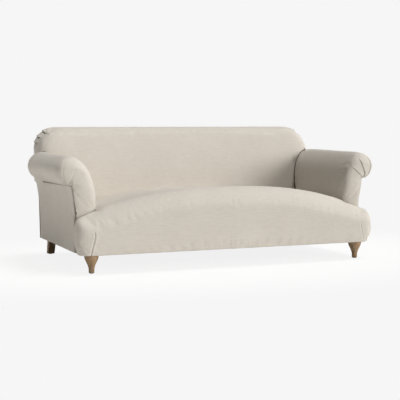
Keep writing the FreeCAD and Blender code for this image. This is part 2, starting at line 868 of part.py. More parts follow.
def frame_pieces():
    """Seat frame: rails, stretchers, corner blocks, screws and dowels."""
    inner_x = frame_half - rail_thickness
    inner_front = frame_front + rail_thickness
    inner_rear = frame_rear - rail_thickness
    spring_front = spring_rail_y()
    spring_rear = spring_front + rail_thickness
    side = block(inner_x, frame_half, inner_front, inner_rear, frame_foot, rail_top)
    half = rail_thickness / 2
    stretcher_top = frame_foot + stretcher_height
    stretchers = []
    for x in (-stretcher_x, stretcher_x):
        for y0, y1 in ((inner_front, spring_front), (spring_rear, inner_rear)):
            stretchers.append(block(x - half, x + half, y0, y1, frame_foot, stretcher_top))
    blocks = []
    for x, y, sx, sy in corner_places():
        corners = [
            (x, y, frame_foot),
            (x - sx * corner_block, y, frame_foot),
            (x, y - sy * corner_block, frame_foot),
        ]
        blocks.append(prism(corners, (0, 0, rail_height)))
    screws = block_screws() + plate_screws()
    recesses = []
    for x, y in leg_places().values():
        recesses += plate_recess(x, y)
    holes = recesses + rods_of(screws + dowels(), wood_screw_fit)
    wooden = {
        "front_seat_rail": block(-frame_half, frame_half, frame_front, inner_front, frame_foot, rail_top),
        "rear_seat_rail": block(-frame_half, frame_half, inner_rear, frame_rear, frame_foot, rail_top),
        "right_seat_rail": side,
        "left_seat_rail": mirrored(side),
        "corner_blocks": Part.makeCompound(blocks),
    }
    pieces = {name: shape.cut(holes) for name, shape in wooden.items()}
    pieces["spring_rail"] = block(-inner_x, inner_x, spring_front, spring_rear, frame_foot, rail_top)
    pieces["seat_stretchers"] = Part.makeCompound(stretchers)
    pieces["frame_screws"] = Part.makeCompound(rods_of(screws, 0.0))
    pieces["frame_dowels"] = Part.makeCompound(rods_of(dowels(), 0.0))
    return pieces


def spring_pieces():
    """Seat springs, the clips that hold them and the wires that tie them together."""
    spring = zigzag_spring()
    springs = []
    clips = []
    ends = spring_ends()
    for x in spring_places():
        copy = spring.copy()
        copy.translate(V(x, 0, 0))
        springs.append(copy)
        clips += [spring_clip(x, y) for y in ends]
    tie_z = rail_top + spring_rise - spring_wire / 2 - tie_wire / 2
    tie_x = frame_half - rail_thickness / 2
    ties = []
    for n in range(tie_wire_count):
        y = ends[0] + (ends[1] - ends[0]) * (n + 1) / (tie_wire_count + 1)
        ties.append(rod(tie_wire / 2, (-tie_x, y, tie_z), (1, 0, 0), 2 * tie_x))
    return {
        "seat_springs": Part.makeCompound(springs),
        "spring_clips": Part.makeCompound(clips),
        "spring_tie_wires": Part.makeCompound(ties),
    }


def leg_pieces():
    """Legs with their plates, hanger bolts and glides, and the dust cloth round them."""
    pieces = {}
    plates = []
    bolts = []
    glides = []
    cover = block(-frame_half, frame_half, frame_front, frame_rear, underside, frame_foot)
    for name, (x, y) in leg_places().items():
        front = name.startswith("front")
        pieces[name] = front_leg(x, y) if front else rear_leg(x, y)
        foot_y = y if front else y + rear_leg_rake
        plates.append(leg_plate(x, y))
        bolts.append(rod(bolt_radius, (x, y, frame_foot - bolt_depth), (0, 0, 1), bolt_depth + bolt_above))
        glides.append(rod(glide_radius, (x, foot_y, 0.0), (0, 0, 1), glide_height))
        cover = cover.cut(leg_opening(x, y, name))
    pieces["leg_plates"] = Part.makeCompound(plates)
    pieces["leg_bolts"] = Part.makeCompound(bolts)
    pieces["leg_glides"] = Part.makeCompound(glides)
    pieces["dust_cloth"] = cover
    return pieces


def build():
    back = back_form(0.0)
    arm = arm_pieces(back)
    pieces = {}
    for name, shape in arm.items():
        pieces["right_" + name] = shape
        pieces["left_" + name] = mirrored(shape)
    pieces.update(frame_pieces())
    pieces.update(spring_pieces())
    pieces.update(seat_pieces(back))
    pieces.update(back_pieces(both_sides(arm["arm_top_rail"])))
    pieces.update(leg_pieces())
    side = panel_layer(cloth, skin)
    pieces["outside_wadding"] = Part.makeCompound([side, mirrored(side), rear_layer(cloth, skin)])
    return pieces


if __name__ == "__main__":
    os.makedirs("parts", exist_ok=True)
    for name, shape in build().items():
        shape.exportStep(os.path.join("parts", name + ".step"))
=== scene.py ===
# %% [markdown]
# # An English roll arm sofa, piece by piece
#
# The sofa is a wooden box under foam, wadding and linen. The measured frame already holds every
# rail, spring and pad at its place, so this lesson only dresses what the eye sees: the linen
# covers, the oak legs and the black cloth underneath. Every length is in metres, in the frame's
# own axes: X runs along the sofa, the front faces -Y and Z is up.

# %% Load the measured frame
import json
import math

import bmesh
import bpy
import numpy as np
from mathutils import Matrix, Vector
from mathutils.geometry import delaunay_2d_cdt


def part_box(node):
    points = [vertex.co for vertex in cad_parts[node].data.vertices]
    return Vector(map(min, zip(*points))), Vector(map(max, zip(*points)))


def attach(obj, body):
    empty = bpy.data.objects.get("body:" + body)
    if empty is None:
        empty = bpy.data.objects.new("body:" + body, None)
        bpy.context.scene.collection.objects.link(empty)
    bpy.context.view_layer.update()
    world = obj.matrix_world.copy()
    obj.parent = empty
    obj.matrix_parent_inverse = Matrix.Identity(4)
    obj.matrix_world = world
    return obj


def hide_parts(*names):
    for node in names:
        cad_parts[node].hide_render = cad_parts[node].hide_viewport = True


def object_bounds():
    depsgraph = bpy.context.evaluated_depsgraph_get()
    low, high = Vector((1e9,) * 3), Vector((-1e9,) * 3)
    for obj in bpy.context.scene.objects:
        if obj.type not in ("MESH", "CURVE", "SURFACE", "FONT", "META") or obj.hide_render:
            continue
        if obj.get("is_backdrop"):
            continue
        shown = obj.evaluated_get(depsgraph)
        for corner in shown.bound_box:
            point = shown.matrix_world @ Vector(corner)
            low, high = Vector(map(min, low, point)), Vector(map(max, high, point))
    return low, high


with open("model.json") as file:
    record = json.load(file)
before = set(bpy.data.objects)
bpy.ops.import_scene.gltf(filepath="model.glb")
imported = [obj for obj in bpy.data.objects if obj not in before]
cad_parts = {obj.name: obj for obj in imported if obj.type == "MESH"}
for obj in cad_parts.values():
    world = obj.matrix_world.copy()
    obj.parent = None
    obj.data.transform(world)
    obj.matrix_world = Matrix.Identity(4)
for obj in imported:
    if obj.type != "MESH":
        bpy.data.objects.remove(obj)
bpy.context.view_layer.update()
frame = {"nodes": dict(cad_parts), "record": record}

# %% [markdown]
# ## Sizes
#
# Most places come from the boxes of the frame's nodes. The few others are the radii and swells
# that give a soft form its character, and a box can't tell them.

# %% Places that come from the frame
seat_low, seat_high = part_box("seat_cover")
arm_low, arm_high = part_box("right_arm_cover")
back_low, back_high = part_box("back_cover")
side_low, side_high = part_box("right_outside_arm_cover")
dust_low, dust_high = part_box("dust_cloth")
front_y = seat_low.y
underside = seat_low.z
inside_half = arm_low.x
arm_front_y = arm_low.y
arm_height = arm_high.z
roll_end = arm_high.y
panel_top = side_high.z
panel_front_y = side_low.y
top = back_high.z
rear_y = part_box("outside_back_cover")[1].y
print("seat", round(seat_high.z, 3), "arm", round(arm_height, 3), "back", round(top, 3))

# %% Swells and radii of the soft forms
body_half = 0.975
seat_height = 0.487
seat_drop = 0.165
dome_power = 2.5
seat_front_radius = 0.110
seat_end_radius = 0.060
seat_end_bulge = 0.028
seat_rear_radius = 0.014
seat_pitch = 0.0685
lip_depth = arm_front_y - front_y
front_draw_in = 0.006
front_draw_height = 0.060
tuck = 0.024
arm_shoulder = 0.430
roll_radius = 0.090
roll_x = arm_high.x - roll_radius
roll_z = arm_height - roll_radius
arm_edge_radius = 0.048
side_seam = 0.008
roll_end_radius = 0.030
panel_neck = 0.021
back_half = 1.005
rear_half = 1.011
back_corner_radius = 0.180
rear_corner_radius = 0.138
back_seam_y = 0.275
back_seam_z = 0.400
back_slope = 0.30
rear_slope = 0.02
back_edge_radius = 0.060
back_crown = 0.025
crown_reach = 0.240
rear_panel_depth = 0.013


def smooth_step(value, start, end):
    """0 before start, 1 after end, and a soft rise between them."""
    t = np.clip((value - start) / (end - start), 0.0, 1.0)
    return t * t * (3.0 - 2.0 * t)


def rounding(radius, depth):
    """How far a rounded edge is drawn in at a depth behind its face."""
    d = np.clip(depth, 0.0, radius)
    return radius - np.sqrt(np.maximum(radius ** 2 - (radius - d) ** 2, 0.0))


def seat_top(x):
    return seat_height - seat_drop * (np.abs(x) / body_half) ** dome_power


def seat_fall(y):
    """How much lower the seat is at a place behind its front edge."""
    return seat_pitch * np.maximum(y - front_y - seat_front_radius, 0.0)


def inside_back_y(z):
    return back_seam_y + back_slope * (z - back_seam_z)


def outside_back_y(z):
    return rear_y - rear_slope * (top - z)


def panel_x(z):
    """Outer face of the outside arm at a height."""
    climb = np.clip((z - underside) / (panel_top - underside), 0.0, 1.03)
    return body_half + panel_neck * climb ** 3.5


# %% [markdown]
# ## Tools for soft forms
#
# An upholstered form is smooth because cloth is pulled over foam. Each one starts as a loft
# through closed rings, which says exactly where it lies. A voxel remesh then turns the loft into
# even little squares all over, so that it can be smoothed, blown up as cloth and pinched into
# pleats without a seam in the mesh.

# %% Rings, lofts and meshes
def new_object(name, data):
    obj = bpy.data.objects.new(name, data)
    bpy.context.scene.collection.objects.link(obj)
    return obj


def closed_object(name, verts, faces):
    """Object from points and faces, with every face turned outwards."""
    mesh = bpy.data.meshes.new(name)
    mesh.from_pydata([tuple(p) for p in verts], [], faces)
    bm = bmesh.new()
    bm.from_mesh(mesh)
    bmesh.ops.recalc_face_normals(bm, faces=bm.faces)
    bm.to_mesh(mesh)
    bm.free()
    return new_object(name, mesh)


def loft(name, rings):
    """Closed mesh through rings of equally many points, with a flat cap at each end."""
    count = len(rings[0])
    verts = [p for ring in rings for p in ring]
    faces = []
    for n in range(len(rings) - 1):
        for i in range(count):
            j = (i + 1) % count
            faces.append((n * count + i, n * count + j, (n + 1) * count + j, (n + 1) * count + i))
    last = (len(rings) - 1) * count
    faces.append(tuple(range(count - 1, -1, -1)))
    faces.append(tuple(range(last, last + count)))
    return closed_object(name, verts, faces)


def quarter(radius, count):
    """Depth behind a face and inset from its edge, step by step over a rounded edge."""
    turns = [math.radians(90.0 * n / (count - 1)) for n in range(count)]
    return [(radius * (1.0 - math.cos(t)), radius * (1.0 - math.sin(t))) for t in turns]


def arc(x, z, wide, high, start, end, count):
    """Points of an arc round a middle, from one turn to another in degrees."""
    turn = np.radians(np.linspace(start, end, count))
    return np.column_stack([x + wide * np.cos(turn), z + high * np.sin(turn)])


def smooth_curve(points, count):
    """Points spread along a smooth curve through a few given ones."""
    p = np.array([points[0]] + list(points) + [points[-1]], float)
    out = []
    for n in range(1, len(p) - 2):
        t = np.linspace(0.0, 1.0, count, endpoint=False)[:, None]
        a = 2 * p[n]
        b = p[n + 1] - p[n - 1]
        c = 2 * p[n - 1] - 5 * p[n] + 4 * p[n + 1] - p[n + 2]
        d = 3 * p[n] - p[n - 1] - 3 * p[n + 1] + p[n + 2]
        out.append(0.5 * (a + b * t + c * t ** 2 + d * t ** 3))
    return np.vstack(out + [p[-2:-1]])


def baked(obj, kind, **settings):
    """Add one modifier, set it and turn its result into the object's own mesh."""
    modifier = obj.modifiers.new(kind.title(), kind)
    for key, value in settings.items():
        setattr(modifier, key, value)
    depsgraph = bpy.context.evaluated_depsgraph_get()
    mesh = bpy.data.meshes.new_from_object(obj.evaluated_get(depsgraph))
    obj.modifiers.clear()
    old = obj.data
    obj.data = mesh
    bpy.data.meshes.remove(old)
    mesh.name = obj.name
    return obj


def points_of(obj):
    co = np.empty(len(obj.data.vertices) * 3)
    obj.data.vertices.foreach_get("co", co)
    return co.reshape(-1, 3)


def normals_of(obj):
    no = np.empty(len(obj.data.vertices) * 3, np.float32)
    obj.data.vertex_normals.foreach_get("vector", no)
    return no.reshape(-1, 3).astype(float)


def set_points(obj, co):
    obj.data.vertices.foreach_set("co", np.ascontiguousarray(co, float).ravel())
    obj.data.update()


def finished(obj, smooth=True):
    obj.data.polygons.foreach_set("use_smooth", [smooth] * len(obj.data.polygons))
    obj.data.update()
    return obj


# %% Remesh and smooth
def soft_mesh(obj, voxel, passes):
    baked(obj, "REMESH", mode="VOXEL", voxel_size=voxel)
    baked(obj, "SMOOTH", factor=0.5, iterations=passes)
    return finished(obj)


# %% [markdown]
# ## Cloth that fills out
#
# Linen over foam is a little fuller between its seams than a drawing is. A short cloth
# simulation with air pressure and no gravity gives that fullness: the hidden and the sewn parts
# are pinned, the rest swells, and no point may move further than a few millimetres.

# %% A short pressure simulation
def plump(obj, pinned, pressure, cap, frames=9):
    scene = bpy.context.scene
    group = obj.vertex_groups.new(name="pinned")
    group.add([int(i) for i in np.nonzero(pinned)[0]], 1.0, "REPLACE")
    before = points_of(obj)
    modifier = obj.modifiers.new("Cloth", "CLOTH")
    cloth = modifier.settings
    cloth.quality = 4
    cloth.mass = 0.3
    cloth.tension_stiffness = 12.0
    cloth.compression_stiffness = 12.0
    cloth.shear_stiffness = 4.0
    cloth.bending_stiffness = 0.6
    cloth.use_pressure = True
    cloth.uniform_pressure_force = pressure
    cloth.shrink_min = -0.012
    cloth.vertex_group_mass = group.name
    cloth.effector_weights.gravity = 0.0
    modifier.point_cache.frame_start = 1
    modifier.point_cache.frame_end = frames
    for number in range(1, frames + 1):
        scene.frame_set(number)
    depsgraph = bpy.context.evaluated_depsgraph_get()
    result = bpy.data.meshes.new_from_object(obj.evaluated_get(depsgraph))
    after = np.empty(len(result.vertices) * 3)
    result.vertices.foreach_get("co", after)
    bpy.data.meshes.remove(result)
    obj.modifiers.clear()
    obj.vertex_groups.clear()
    scene.frame_set(1)
    move = after.reshape(-1, 3) - before
    length = np.linalg.norm(move, axis=1)
    limited = cap * np.tanh(length / cap)
    move *= (limited / np.maximum(length, 1e-9))[:, None]
    set_points(obj, before + move)
    print(obj.name, "swelled", round(float(limited.max()) * 1000, 1), "mm at most")
    return obj


# %% [markdown]
# ## The seat
#
# The seat is one domed form, T-shaped in plan: a lip runs across in front of the arms and the
# rest lies between them. Its rings are slices across the sofa. They swell at the ends, follow
# the dome along the top, and step in where the arms begin.

# %% Rings of the seat
def seat_ring(y, top_in, side_in, lip_in, between_arms):
    top_in += float(seat_fall(y))
    swell = seat_end_bulge * (1.0 - 0.85 * min((y - front_y) / lip_depth, 1.0) ** 4)
    foot_x = body_half - side_in - lip_in
    dome_x = foot_x - 0.8 * seat_end_radius
    dome_z = float(seat_top(dome_x)) - top_in
    bulge_x = foot_x + swell
    waist_z = underside + 0.5 * (dome_z - underside)
    neck_x = bulge_x - 0.12 * swell
    neck_z = waist_z + 0.48 * (dome_z - waist_z)
    corner_x = bulge_x - 0.30 * (bulge_x - dome_x)
    corner_z = dome_z - 0.27 * (dome_z - neck_z)
    end = [(foot_x, underside), (bulge_x - 0.004, 0.5 * (waist_z + underside)), (bulge_x, waist_z)]
    end += [(neck_x, neck_z), (corner_x, corner_z), (dome_x, dome_z)]
    side = smooth_curve(end, 7)
    dome = np.linspace(dome_x, -dome_x, 121)[1:-1]
    crown = np.column_stack([dome, seat_top(dome) - top_in])
    floor = np.linspace(-foot_x, foot_x, 61)[1:-1]
    base = np.column_stack([floor, np.full(len(floor), underside)])
    left = side[::-1] * [-1.0, 1.0]
    xz = np.vstack([side, crown, left, base])
    x = xz[:, 0]
    z = xz[:, 1]
    if between_arms:
        x = np.clip(x, -inside_half, inside_half)
        sunk = rounding(tuck, inside_half - np.abs(x))
        z = np.where(z > underside + tuck, np.maximum(z - sunk, underside), z)
    else:
        outer = smooth_step(np.abs(x), inside_half - 0.03, inside_half)
        z = np.where(z > underside + tuck, z - lip_in * outer, z)
    return np.column_stack([x, np.full(len(x), y), z])


def seat_rings():
    rings = []
    for depth, top_in in quarter(seat_front_radius, 11):
        rings.append(seat_ring(front_y + depth, top_in, rounding(seat_end_radius, depth), 0.0, False))
    for gap in (0.020, 0.010, 0.004, 0.001, 0.0):
        rings.append(seat_ring(arm_front_y - gap, 0.0, 0.0, float(rounding(0.006, gap)), False))
    rear = float(inside_back_y(seat_height)) + 0.02
    for y in np.linspace(arm_front_y, rear, 14):
        rings.append(seat_ring(y, 0.0, 0.0, 0.0, True))
    return rings


# %% The seat as a soft mesh
def crown_of_back(x, z):
    """Face of the inside back, with its swell, at a place on the sofa."""
    inset = np.minimum(back_half - np.abs(x), top - z)
    share = np.clip((inset - back_edge_radius) / crown_reach, 0.0, 1.0)
    return inside_back_y(z) - back_crown * (1.0 - (1.0 - share) ** 2)


seat = soft_mesh(loft("seat", seat_rings()), voxel=0.011, passes=6)
co = points_of(seat)
to_back = crown_of_back(co[:, 0], co[:, 2]) - co[:, 1]
co[:, 2] -= np.where(co[:, 2] > 0.25, rounding(seat_rear_radius, to_back), 0.0)
low = np.clip(1.0 - (co[:, 2] - underside) / front_draw_height, 0.0, 1.0)
near_front = smooth_step(-co[:, 1], -arm_front_y, -front_y)
co[:, 1] += front_draw_in * low ** 2 * near_front
bottom_band = 0.012
low = co[:, 2] < underside + bottom_band
beyond_cloth = (np.abs(co[:, 0]) > dust_high.x) | (co[:, 1] < dust_low.y)
co[low & beyond_cloth, 2] = underside - 0.0015
set_points(seat, co)
hidden = (co[:, 2] < underside + bottom_band) | (to_back < 0.01)
hidden |= (np.abs(co[:, 0]) > inside_half - 0.006) & (co[:, 1] > arm_front_y - 0.008)
plump(seat, hidden, pressure=3.0, cap=0.006)
baked(seat, "SUBSURF", levels=1, render_levels=1)

# %% [markdown]
# Seams, darts and pleats take up the spare cloth where a flat piece has to go round a form. Each
# one is a narrow valley, and in a pleat one side of it is a raised lip. The mesh is made finer
# along the line first, and then its points move along their normals.

# %% Tools for seams and pleats
def refine(obj, chosen):
    """Split the faces whose points are all chosen."""
    bm = bmesh.new()
    bm.from_mesh(obj.data)
    bm.verts.ensure_lookup_table()
    edges = [e for e in bm.edges if chosen[e.verts[0].index] and chosen[e.verts[1].index]]
    bmesh.ops.subdivide_edges(bm, edges=edges, cuts=1, use_grid_fill=True, smooth=0.4)
    bm.to_mesh(obj.data)
    bm.free()
    obj.data.update()
    return obj


def beside(flat, path):
    """Signed distance of flat points from a path, above 0 on its left, and the share along it."""
    path = smooth_curve(path, 8)
    steps = np.diff(path, axis=0)
    lengths = np.hypot(steps[:, 0], steps[:, 1])
    starts = np.concatenate([[0.0], np.cumsum(lengths)])
    best = np.full(len(flat), 9.0)
    off = np.full(len(flat), 9.0)
    share = np.zeros(len(flat))
    for n, (step, length) in enumerate(zip(steps, lengths)):
        ahead = step / length
        rel = flat - path[n]
        along = np.clip(rel @ ahead, 0.0, length)
        gap = np.linalg.norm(rel - along[:, None] * ahead, axis=1)
        left = np.where(ahead[0] * rel[:, 1] - ahead[1] * rel[:, 0] < 0.0, -1.0, 1.0)
        nearer = gap < best
        best = np.where(nearer, gap, best)
        off = np.where(nearer, left * gap, off)
        share = np.where(nearer, (starts[n] + along) / starts[-1], share)
    return off, share


def paint_fold_shade(obj, depth):
    """Keep how deep in a fold each point lies, from 0 to 1, for the material to paint as shade."""
    if "fold" not in obj.data.attributes:
        obj.data.attributes.new("fold", "FLOAT", "POINT")
    layer = obj.data.attributes["fold"]
    before = np.empty(len(obj.data.vertices), np.float32)
    layer.data.foreach_get("value", before)
    layer.data.foreach_set("value", np.maximum(before, depth).astype(np.float32))
    obj.data.update()


def fold(off, lip, valley, width, spread):
    """Height of a pleat: a narrow valley, and beside it a raised lip that fades with distance."""
    raised = lip * smooth_step(off, -0.5 * width, width) * np.exp(-np.maximum(off, 0.0) / spread)
    return raised - valley * np.exp(-((off + width) / width) ** 2)


# %% Seam where the lip meets the front of the arms
seam_depth = 0.009


def behind_lip():
    """Distance to the seam behind the lip, for the points of the lip beside it."""
    co = points_of(seat)
    return co, np.where(np.abs(co[:, 0]) > inside_half - 0.004, arm_front_y - co[:, 1], 9.0)


for margin in (0.024, 0.016):
    co, to_seam = behind_lip()
    refine(seat, np.abs(to_seam) < margin)
co, to_seam = behind_lip()
outward = normals_of(seat)
outward[:, 1] = 0.0
set_points(seat, co - outward * rounding(seam_depth, to_seam)[:, None] * (to_seam < 9.0)[:, None])
# Painted shade: the linen is darkened along the seam behind the lip, more widely on the sides.
on_side = smooth_step(np.abs(co[:, 0]), body_half - 0.020, body_half - 0.005)
paint_fold_shade(seat, 1.0 - smooth_step(to_seam - 0.005 * on_side, 0.005, 0.011))

# %% Darts near the front corners of the lip
dart_path = ((0.902, 0.258), (0.898, 0.227), (0.904, 0.198), (0.913, 0.163), (0.919, 0.130), (0.920, 0.108))
dart_depth = 0.0045
dart_half_width = 0.0026
dart_swell = 0.0012


def beside_dart():
    co = points_of(seat)
    off, share = beside(np.column_stack([np.abs(co[:, 0]), co[:, 2]]), dart_path)
    off = np.where(co[:, 1] < front_y + 0.05, off, 9.0)
    return co, off, share


for margin in (0.022, 0.014):
    co, off, share = beside_dart()
    refine(seat, np.abs(off) < margin)
co, off, share = beside_dart()
push = dart_swell * np.exp(-((np.abs(off) - 0.010) / 0.006) ** 2)
push -= dart_depth * np.exp(-(off / dart_half_width) ** 2)
push *= smooth_step(share, 0.0, 0.12) * np.where(co[:, 0] > 0.0, 0.4, 1.0)
set_points(seat, co + normals_of(seat) * push[:, None])
finished(seat)
print("seat", len(seat.data.polygons), "faces")

# %% [markdown]
# ## The arms
#
# An arm is a scroll: its section climbs the inside face, bows outwards over the roll, goes round
# it and stops in the neck below. The same section, drawn in a little at each step, makes the
# soft front edge and the rounded rear end of the roll.

# %% Rings of an arm
arm_foot = underside + 0.002


def arm_ring(y, inset, side_in):
    across = roll_x - inside_half - inset
    rise = arm_height - arm_shoulder - inset
    radius = roll_radius - inset
    inner_x = roll_x - across
    wall = np.column_stack([np.full(24, inner_x), np.linspace(arm_foot, arm_shoulder, 24, endpoint=False)])
    bow = arc(roll_x, arm_shoulder, -across, rise, 0.0, 90.0, 28)
    roll = arc(roll_x, roll_z, radius, radius, 90.0, -90.0, 40)[1:]
    heights = np.linspace(panel_top, arm_foot, 30)
    outer = np.column_stack([panel_x(heights) - side_in, heights])
    floor_x = np.linspace(outer[-1, 0], inner_x, 10)[1:-1]
    floor = np.column_stack([floor_x, np.full(len(floor_x), arm_foot)])
    xz = np.vstack([wall, bow, roll, outer, floor])
    return np.column_stack([xz[:, 0], np.full(len(xz), y), xz[:, 1]])


def arm_rings():
    rings = []
    for depth, edge in quarter(arm_edge_radius, 11):
        rings.append(arm_ring(arm_front_y + depth, edge, float(rounding(side_seam, depth))))
    for y in np.linspace(arm_front_y + 0.06, roll_end - roll_end_radius, 10):
        rings.append(arm_ring(y, 0.0, 0.0))
    for step in range(1, 8):
        turn = math.radians(12.0 * step)
        y = roll_end - roll_end_radius * (1.0 - math.sin(turn))
        rings.append(arm_ring(y, roll_end_radius * (1.0 - math.cos(turn)), 0.0))
    return rings


# %% The right arm as a soft mesh, and its twin
right_arm = soft_mesh(loft("right_arm", arm_rings()), voxel=0.008, passes=5)
co = points_of(right_arm)
to_back = crown_of_back(co[:, 0], co[:, 2]) - co[:, 1]
hidden = (co[:, 2] < 0.20) | (to_back < 0.0)
hidden |= (co[:, 0] > 0.95) & (co[:, 2] < panel_top + 0.01) & (co[:, 1] > panel_front_y - 0.01)
plump(right_arm, hidden, pressure=2.5, cap=0.004)

# %% [markdown]
# The front of an arm is fuller than its edge, and the roll drops a little towards it. Under the
# roll and behind the front the arm lies deeper, so that the board of the outside arm can close
# over it and leave a narrow groove. Where the arm runs into the back it dives into a crease.

# %% A fuller front
arm_dome = 0.014
arm_droop = 0.016
droop_reach = 0.150


def arm_width(z):
    """Inner and outer side of the arm at a height."""
    climb = np.clip((z - arm_shoulder) / (arm_height - arm_shoulder), 0.0, 1.0)
    inner = roll_x - (roll_x - inside_half) * np.sqrt(1.0 - climb ** 2)
    round_part = np.sqrt(np.maximum(roll_radius ** 2 - (z - roll_z) ** 2, 0.0))
    return inner, np.maximum(panel_x(z), roll_x + round_part)


co = points_of(right_arm)
inner, outer = arm_width(co[:, 2])
across = (2.0 * co[:, 0] - inner - outer) / np.maximum(outer - inner, 0.02)
dome = np.clip(1.0 - across ** 2, 0.0, 1.0) * smooth_step(arm_height - co[:, 2], 0.0, 0.07)
depth = co[:, 1] - arm_front_y
dome *= smooth_step(co[:, 2], 0.36, 0.50) * np.clip(1.0 - depth / arm_edge_radius, 0.0, 1.0)
co[:, 1] -= arm_dome * dome
drop = np.clip(1.0 - depth / droop_reach, 0.0, 1.0) ** 2 * smooth_step(co[:, 2], 0.56, 0.67)
co[:, 2] -= arm_droop * drop
set_points(right_arm, co)

# %% The groove under the roll and behind the front
groove = 0.0085
neck_z = roll_z - roll_radius
for margin in (0.026, 0.016):
    co = points_of(right_arm)
    front_strip = (co[:, 1] < panel_front_y + margin) & (co[:, 2] < neck_z + 0.02)
    under_roll = np.abs(co[:, 2] - neck_z) < margin
    refine(right_arm, (co[:, 0] > 0.93) & (front_strip | under_roll))
co = points_of(right_arm)
sink = smooth_step(co[:, 1], panel_front_y - 0.012, panel_front_y - 0.008) * (co[:, 0] > 0.90)
sink *= 1.0 - smooth_step(co[:, 2], neck_z - 0.008, neck_z + 0.001)
co[:, 0] -= groove * sink
set_points(right_arm, co)
# Painted shade: the linen is darkened in the groove under the roll and behind the front, less towards the
# rear.
shade = sink * (1.0 - 0.45 * smooth_step(co[:, 1], panel_front_y + 0.02, panel_front_y + 0.06))
paint_fold_shade(right_arm, shade * (1.0 - smooth_step(co[:, 1], roll_end - 0.08, roll_end - 0.03)))

# %% The crease where the arm meets the back
crease = 0.009
for margin in (0.024, 0.016):
    co = points_of(right_arm)
    to_back = crown_of_back(co[:, 0], co[:, 2]) - co[:, 1]
    refine(right_arm, (np.abs(to_back) < margin) & (co[:, 2] > 0.30) & (co[:, 0] < roll_x + 0.03))
co = points_of(right_arm)
to_back = crown_of_back(co[:, 0], co[:, 2]) - co[:, 1]
sink = rounding(crease, to_back) * (co[:, 2] > 0.30) * smooth_step(roll_x + 0.02 - co[:, 0], 0.0, 0.04)
set_points(right_arm, co - normals_of(right_arm) * sink[:, None])
# Painted shade: the linen is darkened deep in the crease where the arm meets the back.
paint_fold_shade(right_arm, smooth_step(sink, 0.35 * crease, 0.8 * crease))
finished(right_arm)
plain_arm = right_arm.data.copy()

# %% [markdown]
# Three pleats fan out from the neck over the front of the roll. The photo shows them clearly on
# the right arm, where the light crosses them, and hardly at all on the left one.

# %% Fan pleats on the front of the roll
pleat_middle = (0.995, 0.590)
arm_pleats = (
    ((0.896, 0.608), (0.948, 0.565), (1.002, 0.519)),
    ((0.960, 0.668), (0.990, 0.598), (1.016, 0.536)),
    ((1.026, 0.680), (1.052, 0.625), (1.051, 0.563), (1.032, 0.520)),
)


def pleat_front(arm, strength):
    """Fold the front of an arm, more or less deeply."""
    for margin in (0.085, 0.070):
        co = points_of(arm)
        near = np.hypot(co[:, 0] - pleat_middle[0], co[:, 2] - pleat_middle[1]) < margin + 0.035
        refine(arm, near & (co[:, 1] < arm_front_y + margin))
    co = points_of(arm)
    push = np.zeros(len(co))
    for path in arm_pleats:
        off, share = beside(co[:, [0, 2]], path)
        pleat = fold(off, lip=0.0042, valley=0.0060, width=0.0028, spread=0.016)
        push += smooth_step(share, 0.0, 0.45) * pleat
    push *= strength * (1.0 - smooth_step(co[:, 1], arm_front_y + 0.030, arm_front_y + 0.065))
    set_points(arm, co + normals_of(arm) * push[:, None])
    return finished(arm)


def twin(obj, name):
    """Mirror image of a finished piece, with its faces turned outwards again."""
    mesh = obj.data.copy()
    mesh.name = name
    other = new_object(name, mesh)
    set_points(other, points_of(other) * [-1.0, 1.0, 1.0])
    mesh.flip_normals()
    return other


pleat_front(right_arm, 1.0)
spare_arm = pleat_front(new_object("spare_arm", plain_arm), 0.3)
left_arm = twin(spare_arm, "left_arm")
bpy.data.objects.remove(spare_arm)
print("arm", len(right_arm.data.polygons), "faces")

# %% [markdown]
# ## The back
#
# The inside back, its top and its sides are one cover. Its rings are arches on planes that turn
# from the upright outside back to the leaning inside back, and then shrink towards the middle of
# the face, which swells.

# %% Rings of the back
def arch_ring(half, corner, inset, plane):
    half = half - inset
    crest = top - inset
    radius = max(corner - inset, 0.4 * corner)
    foot = back_low.z
    middle_x = half - radius
    middle_z = crest - radius
    side = np.column_stack([np.full(40, half), np.linspace(foot, middle_z, 40, endpoint=False)])
    bend = arc(middle_x, middle_z, radius, radius, 0.0, 90.0, 30)
    flat = np.linspace(middle_x, -middle_x, 60)[1:-1]
    crown = np.column_stack([flat, np.full(len(flat), crest)])
    left = np.vstack([side, bend])[::-1] * [-1.0, 1.0]
    floor_x = np.linspace(-half, half, 60)[1:-1]
    floor = np.column_stack([floor_x, np.full(len(floor_x), foot)])
    xz = np.vstack([side, bend, crown, left, floor])
    low = xz[:, 1] < panel_top - 0.010
    limit = panel_x(panel_top) - 0.03
    xz[low, 0] = np.clip(xz[low, 0], -limit, limit)
    return np.column_stack([xz[:, 0], plane(xz[:, 1]), xz[:, 1]])


def back_rings():
    rings = []
    for depth, edge in quarter(0.010, 5):
        shift = rear_panel_depth + depth - 0.006
        rings.append(arch_ring(rear_half, rear_corner_radius, edge, lambda z: outside_back_y(z) - shift))
    for depth, edge in reversed(quarter(back_edge_radius, 11)):
        rings.append(arch_ring(back_half, back_corner_radius, edge, lambda z: inside_back_y(z) + depth))
    for share in np.linspace(0.1, 1.0, 10):
        swell = back_crown * (1.0 - (1.0 - share) ** 2)
        edge = back_edge_radius + share * crown_reach
        rings.append(arch_ring(back_half, back_corner_radius, edge, lambda z: inside_back_y(z) - swell))
    return rings


# %% The back as a soft mesh
back = soft_mesh(loft("back", back_rings()), voxel=0.010, passes=5)
co = points_of(back)
hidden = (co[:, 1] > outside_back_y(co[:, 2]) - rear_panel_depth - 0.012) | (co[:, 2] < 0.30)
hidden |= (np.abs(co[:, 0]) > inside_half) & (co[:, 2] < roll_z)
plump(back, hidden, pressure=3.0, cap=0.006)

# %% Creases where the back meets the arms
def gap_to_arm():
    co = points_of(back)
    inner, outer = arm_width(co[:, 2])
    faces_front = (co[:, 1] < inside_back_y(co[:, 2]) + 0.02) & (co[:, 2] < arm_height)
    return co, np.where(faces_front, inner - np.abs(co[:, 0]), 9.0)


